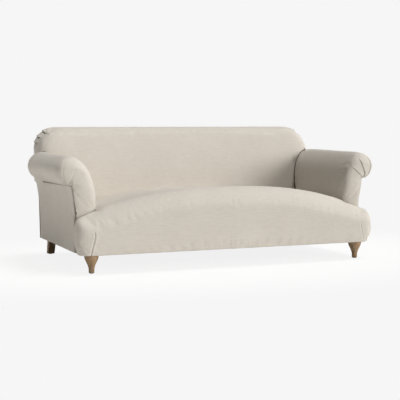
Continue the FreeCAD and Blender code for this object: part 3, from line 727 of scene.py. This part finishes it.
for margin in (0.030, 0.020):
    co, to_arm = gap_to_arm()
    refine(back, np.abs(to_arm) < margin)
co, to_arm = gap_to_arm()
co[:, 1] += rounding(crease, to_arm)
set_points(back, co)
# Painted shade: the linen is darkened along the crease where the back meets the arms.
paint_fold_shade(back, 1.0 - smooth_step(to_arm, 0.001, 0.005))

# %% Pleats over the corners of the back
back_pleats = (14.0, 33.0, 55.0)
corner_x = rear_half - rear_corner_radius
corner_z = top - rear_corner_radius
pleat_start = outside_back_y(top) - rear_panel_depth - 0.080


def near_corner(co):
    dx = np.abs(co[:, 0]) - corner_x
    dz = co[:, 2] - corner_z
    return np.hypot(dx, dz), np.degrees(np.arctan2(dz, dx))


for margin in (0.03, 0.015):
    co = points_of(back)
    reach, angle = near_corner(co)
    chosen = (reach > 0.08) & (angle > -2.0) & (angle < 72.0) & (co[:, 1] > pleat_start - margin)
    chosen &= co[:, 1] < rear_y - 0.004
    refine(back, chosen)
co = points_of(back)
reach, angle = near_corner(co)
push = np.zeros(len(co))
# valley gathers painted shade: the linen is darkened in the valley of each pleat.
valley = np.zeros(len(co))
for turn in back_pleats:
    off = reach * np.radians(angle - turn)
    push += fold(off, lip=0.0075, valley=0.0050, width=0.0030, spread=0.018)
    valley += np.exp(-((off + 0.0025) / 0.0030) ** 2)
along = smooth_step(co[:, 1], pleat_start, pleat_start + 0.035) * smooth_step(reach, 0.08, 0.11)
set_points(back, co + normals_of(back) * (push * along)[:, None])
paint_fold_shade(back, 0.8 * valley * along)
finished(back)
print("back", len(back.data.polygons), "faces")

# %% [markdown]
# ## Outside arms and outside back
#
# These are flat boards under wadding and linen, pulled tight, so each one is a thin panel with
# rounded edges and hardly any swell. A grid gives the face, and its rim rolls back over the edge
# of the board.

# %% A tight upholstered panel
def panel(name, rows, columns, place, swell, edge):
    """Closed panel: place gives a point of the face from two shares, and a depth behind it."""
    u = np.linspace(0.0, 1.0, columns)
    v = np.linspace(0.0, 1.0, rows)
    verts = []
    faces = []
    for b in v:
        for a in u:
            lift = swell * (math.sin(math.pi * a) * math.sin(math.pi * b)) ** 0.5
            verts.append(place(a, b, edge, -lift))
    for r in range(rows - 1):
        for c in range(columns - 1):
            n = r * columns + c
            faces.append((n, n + 1, n + columns + 1, n + columns))
    border = [(a, 0.0) for a in u[:-1]] + [(1.0, b) for b in v[:-1]]
    border += [(a, 1.0) for a in u[:0:-1]] + [(0.0, b) for b in v[:0:-1]]
    inner = list(range(columns - 1)) + [(r + 1) * columns - 1 for r in range(rows - 1)]
    inner += [rows * columns - 1 - c for c in range(columns - 1)]
    inner += [(rows - 1 - r) * columns for r in range(rows - 1)]
    before = inner
    for depth, inset in quarter(edge, 5)[1:] + [(2.0 * edge, 0.0)]:
        start = len(verts)
        verts += [place(a, b, inset, depth) for a, b in border]
        ring = list(range(start, len(verts)))
        for i in range(len(ring)):
            j = (i + 1) % len(ring)
            faces.append((before[i], before[j], ring[j], ring[i]))
        before = ring
    faces.append(tuple(before))
    return finished(closed_object(name, verts, faces))


# %% Outside arms
rear_tuck = 0.003
roll_seam = ((-0.378, -0.108, 0.415), (0.513, 0.510, 0.498))


def rear_narrowing(y, z):
    """1 where the side is pulled in most, low down at the rear edge."""
    return smooth_step(y, 0.455, 0.520) * (1.0 - smooth_step(z, 0.38, 0.50))


def lip_seam(y, z):
    """1 where the side dives into the seam behind the end of the lip."""
    low = 1.0 - smooth_step(z, 0.29, 0.35)
    return low * (1.0 - smooth_step(y, panel_front_y + 0.004, panel_front_y + 0.034))


def outside_arm_place(a, b, inset, depth):
    y0 = panel_front_y + inset
    y1 = float(outside_back_y(underside + (panel_top - underside) * b)) - rear_panel_depth + 0.002 - inset
    y = y0 + (y1 - y0) * a
    z0 = underside + inset
    z1 = float(np.interp(y, *roll_seam)) - inset
    z = z0 + (z1 - z0) * b
    pulled_in = rear_tuck * float(rear_narrowing(y, z)) + groove * float(lip_seam(y, z))
    return (float(panel_x(z)) - pulled_in - depth, y, z)


right_outside_arm = panel("right_outside_arm", 60, 180, outside_arm_place, swell=0.003, edge=0.005)
co = points_of(right_outside_arm)
# Painted shade: the side is darkened where it dives into the seam behind the lip.
paint_fold_shade(right_outside_arm, 1.0 * lip_seam(co[:, 1], co[:, 2]))
left_outside_arm = twin(right_outside_arm, "left_outside_arm")

# %% Outside back
def arch_half(z, inset):
    """Half the width of the outside back at a height."""
    reach = rear_half - 0.008 - inset
    centre_x = rear_half - rear_corner_radius
    radius = reach - centre_x
    centre_z = top - rear_corner_radius
    if z > centre_z:
        return centre_x + math.sqrt(max(radius ** 2 - (z - centre_z) ** 2, 0.0))
    narrow = float(panel_x(z)) - rear_tuck * float(rear_narrowing(rear_y, z)) - inset
    return narrow + (reach - narrow) * float(smooth_step(z, panel_top - 0.004, panel_top + 0.004))


def outside_back_place(a, b, inset, depth):
    z0 = underside + inset
    z1 = top - 0.008 - inset
    z = z0 + (z1 - z0) * math.sin(0.5 * math.pi * b)
    x = (2.0 * a - 1.0) * arch_half(z, inset)
    return (x, float(outside_back_y(z)) - depth, z)


outside_back = panel("outside_back", 80, 160, outside_back_place, swell=0.0, edge=0.006)

# %% [markdown]
# ## Legs
#
# The front legs are turned on a lathe, so a profile spun round its axis is the honest way to
# make them. The rear legs are sawn square, taper a little and rake backwards; only their edges
# are eased.

# %% A turned front leg
leg_profile = (
    (0.004, 0.0152), (0.0055, 0.0165), (0.009, 0.0169), (0.016, 0.0170), (0.027, 0.0174),
    (0.038, 0.0194), (0.054, 0.0248), (0.066, 0.0302), (0.077, 0.0354), (0.086, 0.0392),
    (0.092, 0.0412), (0.100, 0.0424), (0.108, 0.0428), (0.112, 0.0428), (0.113, 0.0420),
)
spokes = 72


def circle(x, y, z, radius, count):
    turn = np.linspace(0.0, 2.0 * math.pi, count, endpoint=False)
    return np.column_stack([x + radius * np.cos(turn), y + radius * np.sin(turn), np.full(count, z)])


def turned_leg(name, x, y):
    curve = smooth_curve([(r, z) for z, r in leg_profile], 4)
    return finished(loft(name, [circle(x, y, z, r, spokes) for r, z in curve]))


def middle_of(node):
    low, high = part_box(node)
    return (low + high) / 2


front_legs = ("front_left_leg", "front_right_leg")
rear_legs = ("rear_left_leg", "rear_right_leg")
legs = []
for name in front_legs:
    spot = middle_of(name)
    legs.append(turned_leg(name + "_oak", spot.x, spot.y))

# %% A raked rear leg
rear_leg_sizes = ((0.004, 0.044), (0.113, 0.050))
edge_ease = 0.003


def raked_leg(name, node):
    low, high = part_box(node)
    x = (low.x + high.x) / 2
    (foot_z, foot), (head_z, head) = rear_leg_sizes
    rings = []
    for z in np.linspace(foot_z, head_z, 12):
        t = (z - foot_z) / (head_z - foot_z)
        half = 0.5 * (foot + (head - foot) * t)
        y = (high.y - foot / 2) * (1.0 - t) + (low.y + head / 2) * t
        corner = []
        for n in range(4):
            for step in range(5):
                turn = math.radians(90.0 * n + 22.5 * step)
                cx = (half - edge_ease) * (1 if n in (0, 3) else -1)
                cy = (half - edge_ease) * (1 if n in (0, 1) else -1)
                corner.append((x + cx + edge_ease * math.cos(turn), y + cy + edge_ease * math.sin(turn), z))
        rings.append(corner)
    return finished(loft(name, rings))


for name in rear_legs:
    legs.append(raked_leg(name + "_oak", name))

# %% Glides under the legs
def glide(x, y, radius, height):
    profile = ((0.55 * radius, 0.0), (0.9 * radius, 0.0004), (radius, 0.0016), (radius, height))
    return loft("glide", [circle(x, y, z, r, 40) for r, z in profile])


def joined(name, parts):
    """One mesh from several objects."""
    bm = bmesh.new()
    for part in parts:
        bm.from_mesh(part.data)
    mesh = bpy.data.meshes.new(name)
    bm.to_mesh(mesh)
    bm.free()
    for part in parts:
        bpy.data.objects.remove(part)
    return new_object(name, mesh)


glide_low, glide_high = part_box("leg_glides")
glide_radius = 0.013
front_leg_x = middle_of("front_right_leg").x
places = [(sx * front_leg_x, glide_low.y + glide_radius) for sx in (-1, 1)]
places += [(sx * (glide_high.x - glide_radius), glide_high.y - glide_radius) for sx in (-1, 1)]
glides = finished(joined("glides", [glide(x, y, glide_radius, glide_high.z) for x, y in places]), False)

# %% [markdown]
# ## Black cloth underneath
#
# A thin black cloth closes the underside and is cut out round the legs. A constrained
# triangulation takes the outline, the leg holes and a loose grid of points and joins them all,
# so the cloth can sag a little between the rails that it is stapled to.

# %% The dust cloth
dust_sag = 0.006
leg_gap = 0.001


def dust_holes():
    """Outline of the hole round each leg, seen from below."""
    holes = []
    for name in front_legs:
        low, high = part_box(name)
        middle = middle_of(name)
        reach = (high.x - low.x) / 2 + leg_gap
        holes.append(circle(middle.x, middle.y, 0.0, reach, 48)[:, :2])
    for name in rear_legs:
        low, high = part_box(name)
        x = (low.x + high.x) / 2
        half = (high.x - low.x) / 2 + leg_gap
        y = low.y - leg_gap + half
        square = np.array([(-1.0, -1.0), (1.0, -1.0), (1.0, 1.0), (-1.0, 1.0)])
        holes.append(square * half + (x, y))
    return holes


def make_dust_sheet():
    x0, y0, x1, y1 = dust_low.x, dust_low.y, dust_high.x, dust_high.y
    loops = [np.array([(x0, y0), (x1, y0), (x1, y1), (x0, y1)])] + dust_holes()
    points = []
    edges = []
    for loop in loops:
        start = len(points)
        points += [tuple(p) for p in loop]
        edges += [(start + i, start + (i + 1) % len(loop)) for i in range(len(loop))]
    for a in np.linspace(0.0, 1.0, 66)[1:-1]:
        for b in np.linspace(0.0, 1.0, 36)[1:-1]:
            points.append((x0 + a * (x1 - x0), y0 + b * (y1 - y0)))
    verts, _, faces, _, _, _ = delaunay_2d_cdt([Vector(p) for p in points], edges, [], 0, 1e-6)
    kept = []
    for face in faces:
        spot = sum((verts[i] for i in face), Vector((0.0, 0.0))) / len(face)
        inside = False
        for hole in loops[1:]:
            middle = hole.mean(axis=0)
            radius = np.hypot(*(hole[0] - middle))
            far_off = np.hypot(spot.x - middle[0], spot.y - middle[1]) > radius
            square = len(hole) == 4 and np.abs(np.array(spot) - middle).max() > hole[1, 0] - middle[0]
            inside = inside or not (far_off or square)
        if not inside:
            kept.append(tuple(face))
    co = []
    for v in verts:
        across = min((x1 - abs(v.x)) / 0.3, 1.0)
        along = min(min(v.y - y0, y1 - v.y) / 0.3, 1.0)
        sag = dust_sag * smooth_step(across, 0.1, 1.0) * smooth_step(along, 0.1, 1.0)
        co.append((v.x, v.y, dust_high.z - float(sag)))
    mesh = bpy.data.meshes.new("dust_sheet")
    mesh.from_pydata(co, [], kept)
    return baked(new_object("dust_sheet", mesh), "SOLIDIFY", thickness=0.0006, offset=0.0)


dust_sheet = finished(make_dust_sheet())
print("dust sheet", len(dust_sheet.data.polygons), "faces")

# %% [markdown]
# Staples hold the cloth. They repeat along a line, so Geometry Nodes set them out: the tree takes
# a line, puts a point on it at every pitch, gives each point one thin wire crown and turns it a
# little, as a hand staple gun would. A small helper adds a node, sets it and links it, here and
# in the materials below.

# %% Staples along the edge of the dust cloth
def add_node(tree, kind, settings, inputs):
    """Add a node, set its properties, and set or link its inputs."""
    node = tree.nodes.new(kind)
    for key, value in settings.items():
        setattr(node, key, value)
    for key, value in inputs.items():
        if isinstance(value, bpy.types.NodeSocket):
            tree.links.new(value, node.inputs[key])
        else:
            node.inputs[key].default_value = value
    return node


def maths(tree, operation, *values):
    return add_node(tree, "ShaderNodeMath", {"operation": operation}, dict(enumerate(values))).outputs[0]


def staple_tree():
    tree = bpy.data.node_groups.new("staple_row", "GeometryNodeTree")
    face = tree.interface
    face.new_socket(name="Line", in_out="INPUT", socket_type="NodeSocketGeometry")
    for label, value in (("Pitch", 0.040), ("Crown", 0.010), ("Wire", 0.0010), ("Slant", 0.2)):
        face.new_socket(name=label, in_out="INPUT", socket_type="NodeSocketFloat").default_value = value
    face.new_socket(name="Seed", in_out="INPUT", socket_type="NodeSocketInt").default_value = 7
    face.new_socket(name="Material", in_out="INPUT", socket_type="NodeSocketMaterial")
    face.new_socket(name="Staples", in_out="OUTPUT", socket_type="NodeSocketGeometry")
    given = tree.nodes.new("NodeGroupInput").outputs
    curve = add_node(tree, "GeometryNodeMeshToCurve", {}, {"Mesh": given["Line"]}).outputs[0]
    dots = add_node(tree, "GeometryNodeCurveToPoints", {"mode": "LENGTH"}, {
        "Curve": curve, "Length": given["Pitch"]})
    size = add_node(tree, "ShaderNodeCombineXYZ", {}, {
        "X": given["Wire"], "Y": given["Wire"], "Z": given["Crown"]})
    crown = add_node(tree, "GeometryNodeMeshCube", {}, {"Size": size.outputs[0]}).outputs[0]
    back = maths(tree, "MULTIPLY", given["Slant"], -1.0)
    slant = add_node(tree, "FunctionNodeRandomValue", {"data_type": "FLOAT"}, {"Seed": given["Seed"]})
    tree.links.new(back, slant.inputs[2])
    tree.links.new(given["Slant"], slant.inputs[3])
    turn = add_node(tree, "ShaderNodeCombineXYZ", {}, {"X": slant.outputs[1]}).outputs[0]
    rows = add_node(tree, "GeometryNodeInstanceOnPoints", {}, {
        "Points": dots.outputs["Points"], "Instance": crown, "Rotation": dots.outputs["Rotation"]}).outputs[0]
    turned = add_node(tree, "GeometryNodeRotateInstances", {}, {"Instances": rows, "Local Space": True})
    tree.links.new(turn, turned.inputs["Rotation"])
    real = add_node(tree, "GeometryNodeRealizeInstances", {}, {"Geometry": turned.outputs[0]}).outputs[0]
    done = add_node(tree, "GeometryNodeSetMaterial", {}, {"Geometry": real, "Material": given["Material"]})
    tree.links.new(done.outputs[0], tree.nodes.new("NodeGroupOutput").inputs[0])
    return tree


staple_inset = 0.012
staple_leg_gap = 0.030
staple_pitch = 0.045


def staple_line():
    """Lines along the four sides of the cloth, which stop short of the legs."""
    leg_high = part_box("front_left_leg")[1]
    x1 = dust_high.x - staple_inset
    y0 = dust_low.y + staple_inset
    y1 = dust_high.y - staple_inset
    short_x = -leg_high.x - staple_leg_gap
    short_y = leg_high.y + staple_leg_gap
    z = dust_high.z - 0.0012
    rear_y0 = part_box("rear_left_leg")[0].y - staple_leg_gap
    verts = [(-short_x, y0, z), (short_x, y0, z), (-short_x, y1, z), (short_x, y1, z)]
    verts += [(-x1, short_y, z), (-x1, rear_y0, z), (x1, short_y, z), (x1, rear_y0, z)]
    mesh = bpy.data.meshes.new("staples")
    mesh.from_pydata(verts, [(0, 1), (2, 3), (4, 5), (6, 7)], [])
    return new_object("staples", mesh)


# %% [markdown]
# ## Colours and materials
#
# Colours are written as the eye sees them, in sRGB hex, and one function turns them into the
# linear light that the renderer works in.

# %% Helpers for materials
def linear(code):
    """Linear colour from an sRGB hex code."""
    out = []
    for n in (1, 3, 5):
        c = int(code[n:n + 2], 16) / 255.0
        out.append(c / 12.92 if c <= 0.04045 else ((c + 0.055) / 1.055) ** 2.4)
    return (*out, 1.0)


def new_material(name, **constants):
    """Material with a principled shader, its constants set on the shader's own sockets."""
    material = bpy.data.materials.new(name)
    material.use_nodes = True
    tree = material.node_tree
    shader = tree.nodes["Principled BSDF"]
    for key, value in constants.items():
        shader.inputs[key.replace("_", " ").title().replace("Ior", "IOR")].default_value = value
    place = tree.nodes.new("ShaderNodeTexCoord").outputs["Object"]
    return material, tree, shader, place


def mix(tree, share, start, end):
    """Colour that a share takes from one colour to another."""
    return add_node(tree, "ShaderNodeMix", {"data_type": "RGBA"}, {0: share, 6: start, 7: end}).outputs[2]


def map_range(tree, value, low=0.0, high=1.0, bottom=0.0, top=1.0, kind="LINEAR"):
    """Value brought from between low and high to between bottom and top."""
    inputs = {"Value": value, "From Min": low, "From Max": high, "To Min": bottom, "To Max": top}
    return add_node(tree, "ShaderNodeMapRange", {"interpolation_type": kind}, inputs).outputs[0]


def coat(tree, shader, colour, height, strength, distance, **settings):
    """Give a shader its colour and its bump."""
    inputs = {"Height": height, "Strength": strength, "Distance": distance}
    tree.links.new(colour, shader.inputs["Base Color"])
    tree.links.new(add_node(tree, "ShaderNodeBump", settings, inputs).outputs[0], shader.inputs["Normal"])


def stretched_noise(tree, place, scale, detail=3.0, rough=0.5):
    """Noise whose grain is drawn out along one axis, by a scale for each axis."""
    mapped = add_node(tree, "ShaderNodeMapping", {}, {"Vector": place, "Scale": scale})
    inputs = {"Vector": mapped.outputs[0], "Scale": 1.0, "Detail": detail, "Roughness": rough}
    return add_node(tree, "ShaderNodeTexNoise", {}, inputs).outputs[0]


# %% [markdown]
# Linen is a plain weave of uneven flax yarn. Its yarns are about 0.7 mm apart and carry slubs,
# thicker places a few centimetres long, so the eye gets faint streaks, most of them along the
# weft, and a dry, almost chalky surface. The yarns are finer than a pixel of the picture, so the
# bump draws them at 2.5 mm, and the slubs keep their real length. Deep in a seam the linen gets
# hardly any light, less than a mesh of this coarseness can show, so the pieces carry that depth
# as an attribute and the colour darkens there.

# %% Oatmeal linen
thread_pitch = 0.0025
slub_length = 0.050
faint = 0.35
linen_light = linear("#D6CFC5")
linen_dark = linear("#C4BCB0")
# Painted shade: the dark colour that the linen turns to deep in seams and creases, where shade falls.
painted_fold_shade = linear("#574E44")


def linen(name, axis):
    """Linen whose weft runs along one axis of the sofa."""
    material, tree, shader, place = new_material(
        name, roughness=0.92, specular_ior_level=0.25, sheen_weight=0.18, sheen_roughness=0.6)
    fine = 1.0 / thread_pitch
    long = 1.0 / slub_length
    weft = stretched_noise(tree, place, [long if n == axis else fine for n in range(3)])
    warp = stretched_noise(tree, place, [fine if n == axis else long for n in range(3)])
    threads = maths(tree, "ADD", weft, warp)
    cloud = stretched_noise(tree, place, (5.0, 5.0, 5.0), detail=4.0)
    weave = maths(tree, "MULTIPLY_ADD", warp, faint, weft)
    streaks = maths(tree, "MULTIPLY_ADD", cloud, faint, weave)
    colour = mix(tree, map_range(tree, streaks, 0.50, 1.20), linen_dark, linen_light)
    # Painted shade: the fold attribute darkens the colour deep in seams and creases.
    painted_shade_depth = add_node(tree, "ShaderNodeAttribute", {"attribute_name": "fold"}, {}).outputs["Fac"]
    coat(tree, shader, mix(tree, painted_shade_depth, colour, painted_fold_shade), threads, strength=0.35, distance=0.0012)
    return material


long_linen = linen("oatmeal_linen_weft_along_the_sofa", 0)
deep_linen = linen("oatmeal_linen_weft_front_to_back", 1)

# %% [markdown]
# The legs are solid oak, left rough from the lathe and greyed with a lime wash. Oak has open
# pores that run along the grain as short dark dashes, and the wash stays in them and softens
# the brown. The grain runs up the leg, so the noise is drawn out along Z.

# %% Weathered oak
def oak():
    material, tree, shader, place = new_material("limed_oak", roughness=0.62, specular_ior_level=0.35)
    bands = stretched_noise(tree, place, (55.0, 55.0, 5.0), detail=5.0, rough=0.6)
    pores = stretched_noise(tree, place, (900.0, 900.0, 45.0), detail=2.0)
    brown = mix(tree, bands, linear("#775D43"), linear("#B89872"))
    dark = map_range(tree, pores, 0.52, 0.70)
    grain = mix(tree, dark, brown, linear("#6B5740"))
    worn = stretched_noise(tree, place, (18.0, 18.0, 9.0), detail=6.0, rough=0.65)
    limed = mix(tree, map_range(tree, worn, 0.45, 0.75, top=0.5), grain, linear("#A99C88"))
    coat(tree, shader, limed, dark, strength=0.4, distance=0.0006, invert=True)
    return material


limed_oak = oak()

# %% [markdown]
# The pieces inside are never seen once the sofa is closed, but each keeps the finish it has on
# the workbench. Most are one base colour broken up by a noise of the right size: foam cells are
# round and a millimetre wide, wadding fibres are long and fine, wood is drawn out along its
# boards.

# %% Materials of the inner pieces
def mottled(name, dark, light, scale, contrast, bump_depth, **constants):
    """Material of two near colours in a stretched noise, which also gives the bump."""
    material, tree, shader, place = new_material(name, **constants)
    grain = stretched_noise(tree, place, scale, detail=4.0, rough=0.6)
    half = 0.25 / contrast
    share = map_range(tree, grain, 0.5 - half, 0.5 + half)
    colour = mix(tree, share, linear(dark), linear(light))
    coat(tree, shader, colour, grain, strength=0.5, distance=bump_depth)
    return material


finish_table = (
    ("upholstery_foam", "cut_upholstery_foam", "#D9CBA0", "#EFE4BE", (700, 700, 700), 1.2, 0.0008, 0.95),
    ("polyester_wadding", "polyester_wadding", "#E6E6E2", "#F7F7F4", (60, 400, 60), 1.0, 0.002, 1.0),
    ("felt_pad", "pressed_felt", "#5E5B57", "#8C877F", (500, 120, 500), 1.2, 0.001, 1.0),
    ("jute_webbing", "woven_jute", "#8A6B42", "#C29E68", (420, 420, 420), 1.5, 0.001, 0.9),
    ("beech_frame", "planed_beech", "#C59A6C", "#DDB88C", (8, 120, 120), 1.0, 0.0004, 0.6),
    ("birch_plywood", "birch_plywood", "#D3B98C", "#E8D5AE", (14, 160, 420), 1.0, 0.0004, 0.6),
    ("hardboard", "pressed_hardboard", "#5B3F28", "#7D5A3B", (250, 250, 250), 1.0, 0.0003, 0.55),
    ("zinc_steel", "zinc_plated_steel", "#A9AEB2", "#CDD2D6", (90, 90, 90), 0.8, 0.0001, 0.35),
    ("black_dust_cloth", "black_spunbond_cloth", "#131313", "#262626", (600, 600, 600), 1.0, 0.0004, 0.85),
    ("nylon_glide", "moulded_nylon", "#2B2A28", "#3A3936", (150, 150, 150), 0.8, 0.0002, 0.4),
)
finishes = {"linen_cover": long_linen, "oak_leg": limed_oak}
for slot, name, dark, light, scale, contrast, bump_depth, rough in finish_table:
    metal = 1.0 if slot == "zinc_steel" else 0.0
    finishes[slot] = mottled(name, dark, light, scale, contrast, bump_depth, roughness=rough, metallic=metal)

# %% Set out the staples
staples = staple_line()
rows = staples.modifiers.new("Rows", "NODES")
rows.node_group = staple_tree()
for item in rows.node_group.interface.items_tree:
    if item.name == "Material":
        rows[item.identifier] = finishes["zinc_steel"]
    if item.name == "Pitch":
        rows[item.identifier] = staple_pitch
depsgraph = bpy.context.evaluated_depsgraph_get()
wires = bpy.data.meshes.new_from_object(staples.evaluated_get(depsgraph))
staples.modifiers.clear()
staples.data = wires
print("staples", len(wires.polygons) // 6)

# %% Give every node of the frame its finish
def wear(obj, material):
    obj.data.materials.clear()
    obj.data.materials.append(material)


for entry in frame["record"]["subparts"]:
    wear(frame["nodes"][entry["node"]], finishes[entry["material_slot"]])
print(len(frame["nodes"]), "nodes have a finish")

# %% [markdown]
# ## Each piece stands for its nodes
#
# A soft piece stands for the cover and for the wadding under it, because both take the shape
# that the cloth has. The foam and the frame stay as they are, inside.

# %% Tie the pieces to the frame
def dress(piece, material, slot, *nodes):
    wear(piece, material)
    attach(piece, "root")
    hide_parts(*nodes)


dress(seat, long_linen, "linen_cover", "seat_cover", "seat_wadding")
dress(back, long_linen, "linen_cover", "back_cover", "back_wadding")
dress(right_arm, deep_linen, "linen_cover", "right_arm_cover", "right_arm_wadding")
dress(left_arm, deep_linen, "linen_cover", "left_arm_cover", "left_arm_wadding")
dress(right_outside_arm, deep_linen, "linen_cover", "right_outside_arm_cover")
dress(left_outside_arm, deep_linen, "linen_cover", "left_outside_arm_cover")
dress(outside_back, long_linen, "linen_cover", "outside_back_cover", "outside_wadding")
dress(dust_sheet, finishes["black_dust_cloth"], "black_dust_cloth", "dust_cloth")
dress(glides, finishes["nylon_glide"], "nylon_glide", "leg_glides")
for leg in legs:
    dress(leg, limed_oak, "oak_leg", leg.name.replace("_oak", ""))
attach(staples, "root")

# %% [markdown]
# ## Floor, light and camera
#
# The picture has a plain pale ground, soft light and a long lens from the sofa's left front. The
# floor keeps the sofa's shadow, and further out it turns into the pale tone of the backdrop.

# %% Floor that fades into the backdrop
backdrop_tone = linear("#F6F6F6")
shadow_veil = 0.86
veil_tone = (1.0, 1.0, 1.0, 1.0)


def floor_material():
    material, tree, shader, place = new_material("pale_floor", roughness=1.0, specular_ior_level=0.0)
    shader.inputs["Base Color"].default_value = linear("#F2F1EF")
    spot = add_node(tree, "ShaderNodeMapping", {}, {"Vector": place, "Scale": (0.42, 0.62, 1.0)})
    away = add_node(tree, "ShaderNodeVectorMath", {"operation": "LENGTH"}, {0: spot.outputs[0]})
    fade = map_range(tree, away.outputs["Value"], 0.55, 1.05, kind="SMOOTHSTEP")
    ray = add_node(tree, "ShaderNodeLightPath", {}, {})
    veil = map_range(tree, fade, bottom=shadow_veil)
    seen = maths(tree, "MULTIPLY", veil, ray.outputs["Is Camera Ray"])
    tone = mix(tree, fade, veil_tone, backdrop_tone)
    glow = add_node(tree, "ShaderNodeEmission", {}, {"Color": tone, "Strength": 1.0})
    mixed = add_node(tree, "ShaderNodeMixShader", {}, {0: seen, 1: shader.outputs[0], 2: glow.outputs[0]})
    tree.links.new(mixed.outputs[0], tree.nodes["Material Output"].inputs[0])
    return material


floor_mesh = bpy.data.meshes.new("floor")
floor_reach = 14.0
floor_corners = [(x * floor_reach, y * floor_reach, 0.0) for x, y in ((-1, -1), (1, -1), (1, 1), (-1, 1))]
floor_mesh.from_pydata(floor_corners, [], [(0, 1, 2, 3)])
floor = new_object("floor", floor_mesh)
floor_mesh.materials.append(floor_material())
floor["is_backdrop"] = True

# %% World that is pale for the camera and gentle for the sofa
world = bpy.data.worlds.new("studio")
bpy.context.scene.world = world
world.use_nodes = True
tree = world.node_tree
ray = add_node(tree, "ShaderNodeLightPath", {}, {})
seen = maths(tree, "MAXIMUM", ray.outputs["Is Camera Ray"], ray.outputs["Is Glossy Ray"])
seen = maths(tree, "MAXIMUM", seen, ray.outputs["Is Transmission Ray"])
soft = add_node(tree, "ShaderNodeBackground", {}, {"Color": (1.0, 1.0, 1.0, 1.0), "Strength": 0.02})
pale = add_node(tree, "ShaderNodeBackground", {}, {"Color": backdrop_tone, "Strength": 1.0})
both = add_node(tree, "ShaderNodeMixShader", {}, {0: seen, 1: soft.outputs[0], 2: pale.outputs[0]})
tree.links.new(both.outputs[0], tree.nodes["World Output"].inputs[0])

# %% Lamps
def aim(obj, turn, dip):
    """Turn an object's gaze to the right of straight ahead, and down by a dip."""
    ahead = Vector((math.sin(turn) * math.cos(dip), math.cos(turn) * math.cos(dip), -math.sin(dip)))
    obj.rotation_euler = ahead.to_track_quat("-Z", "Y").to_euler()


def sun(name, turn, climb, strength):
    """Distant soft light from a turn to the right of the front and a climb above the floor."""
    light = bpy.data.lights.new(name, "SUN")
    light.angle = math.radians(25.0)
    light.energy = strength
    aim(new_object(name, light), -math.radians(turn), math.radians(climb))


sun("front_light", turn=40.0, climb=15.0, strength=2.3)
sun("top_light", turn=90.0, climb=72.0, strength=2.10)
panel_light = bpy.data.lights.new("low_panel", "AREA")
panel_light.shape = "RECTANGLE"
panel_light.size = 3.0
panel_light.size_y = 0.8
panel_light.energy = 25.0
low_panel = new_object("low_panel", panel_light)
low_panel.location = (-3.6, 0.0, 0.50)
low_panel.rotation_euler = Vector((1.0, 0.0, 0.0)).to_track_quat("-Z", "Z").to_euler()

# %% Camera
camera_turn = math.radians(22.551)
camera_dip = 0.07771
camera_data = bpy.data.cameras.new("camera")
camera_data.lens = 90.0
camera_data.sensor_width = 36.0
camera = new_object("camera", camera_data)
camera.location = (-2.558, -6.129, 0.893)
aim(camera, camera_turn, camera_dip)
bpy.context.scene.camera = camera
bpy.context.scene.view_settings.view_transform = "Standard"

# %% [markdown]
# ## Measure and finish
#
# The dressed sofa has to stay as large as the frame says, so its box is printed.

# %% Size of the dressed sofa
low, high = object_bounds()
print("dressed", [round(v, 3) for v in low], [round(v, 3) for v in high])
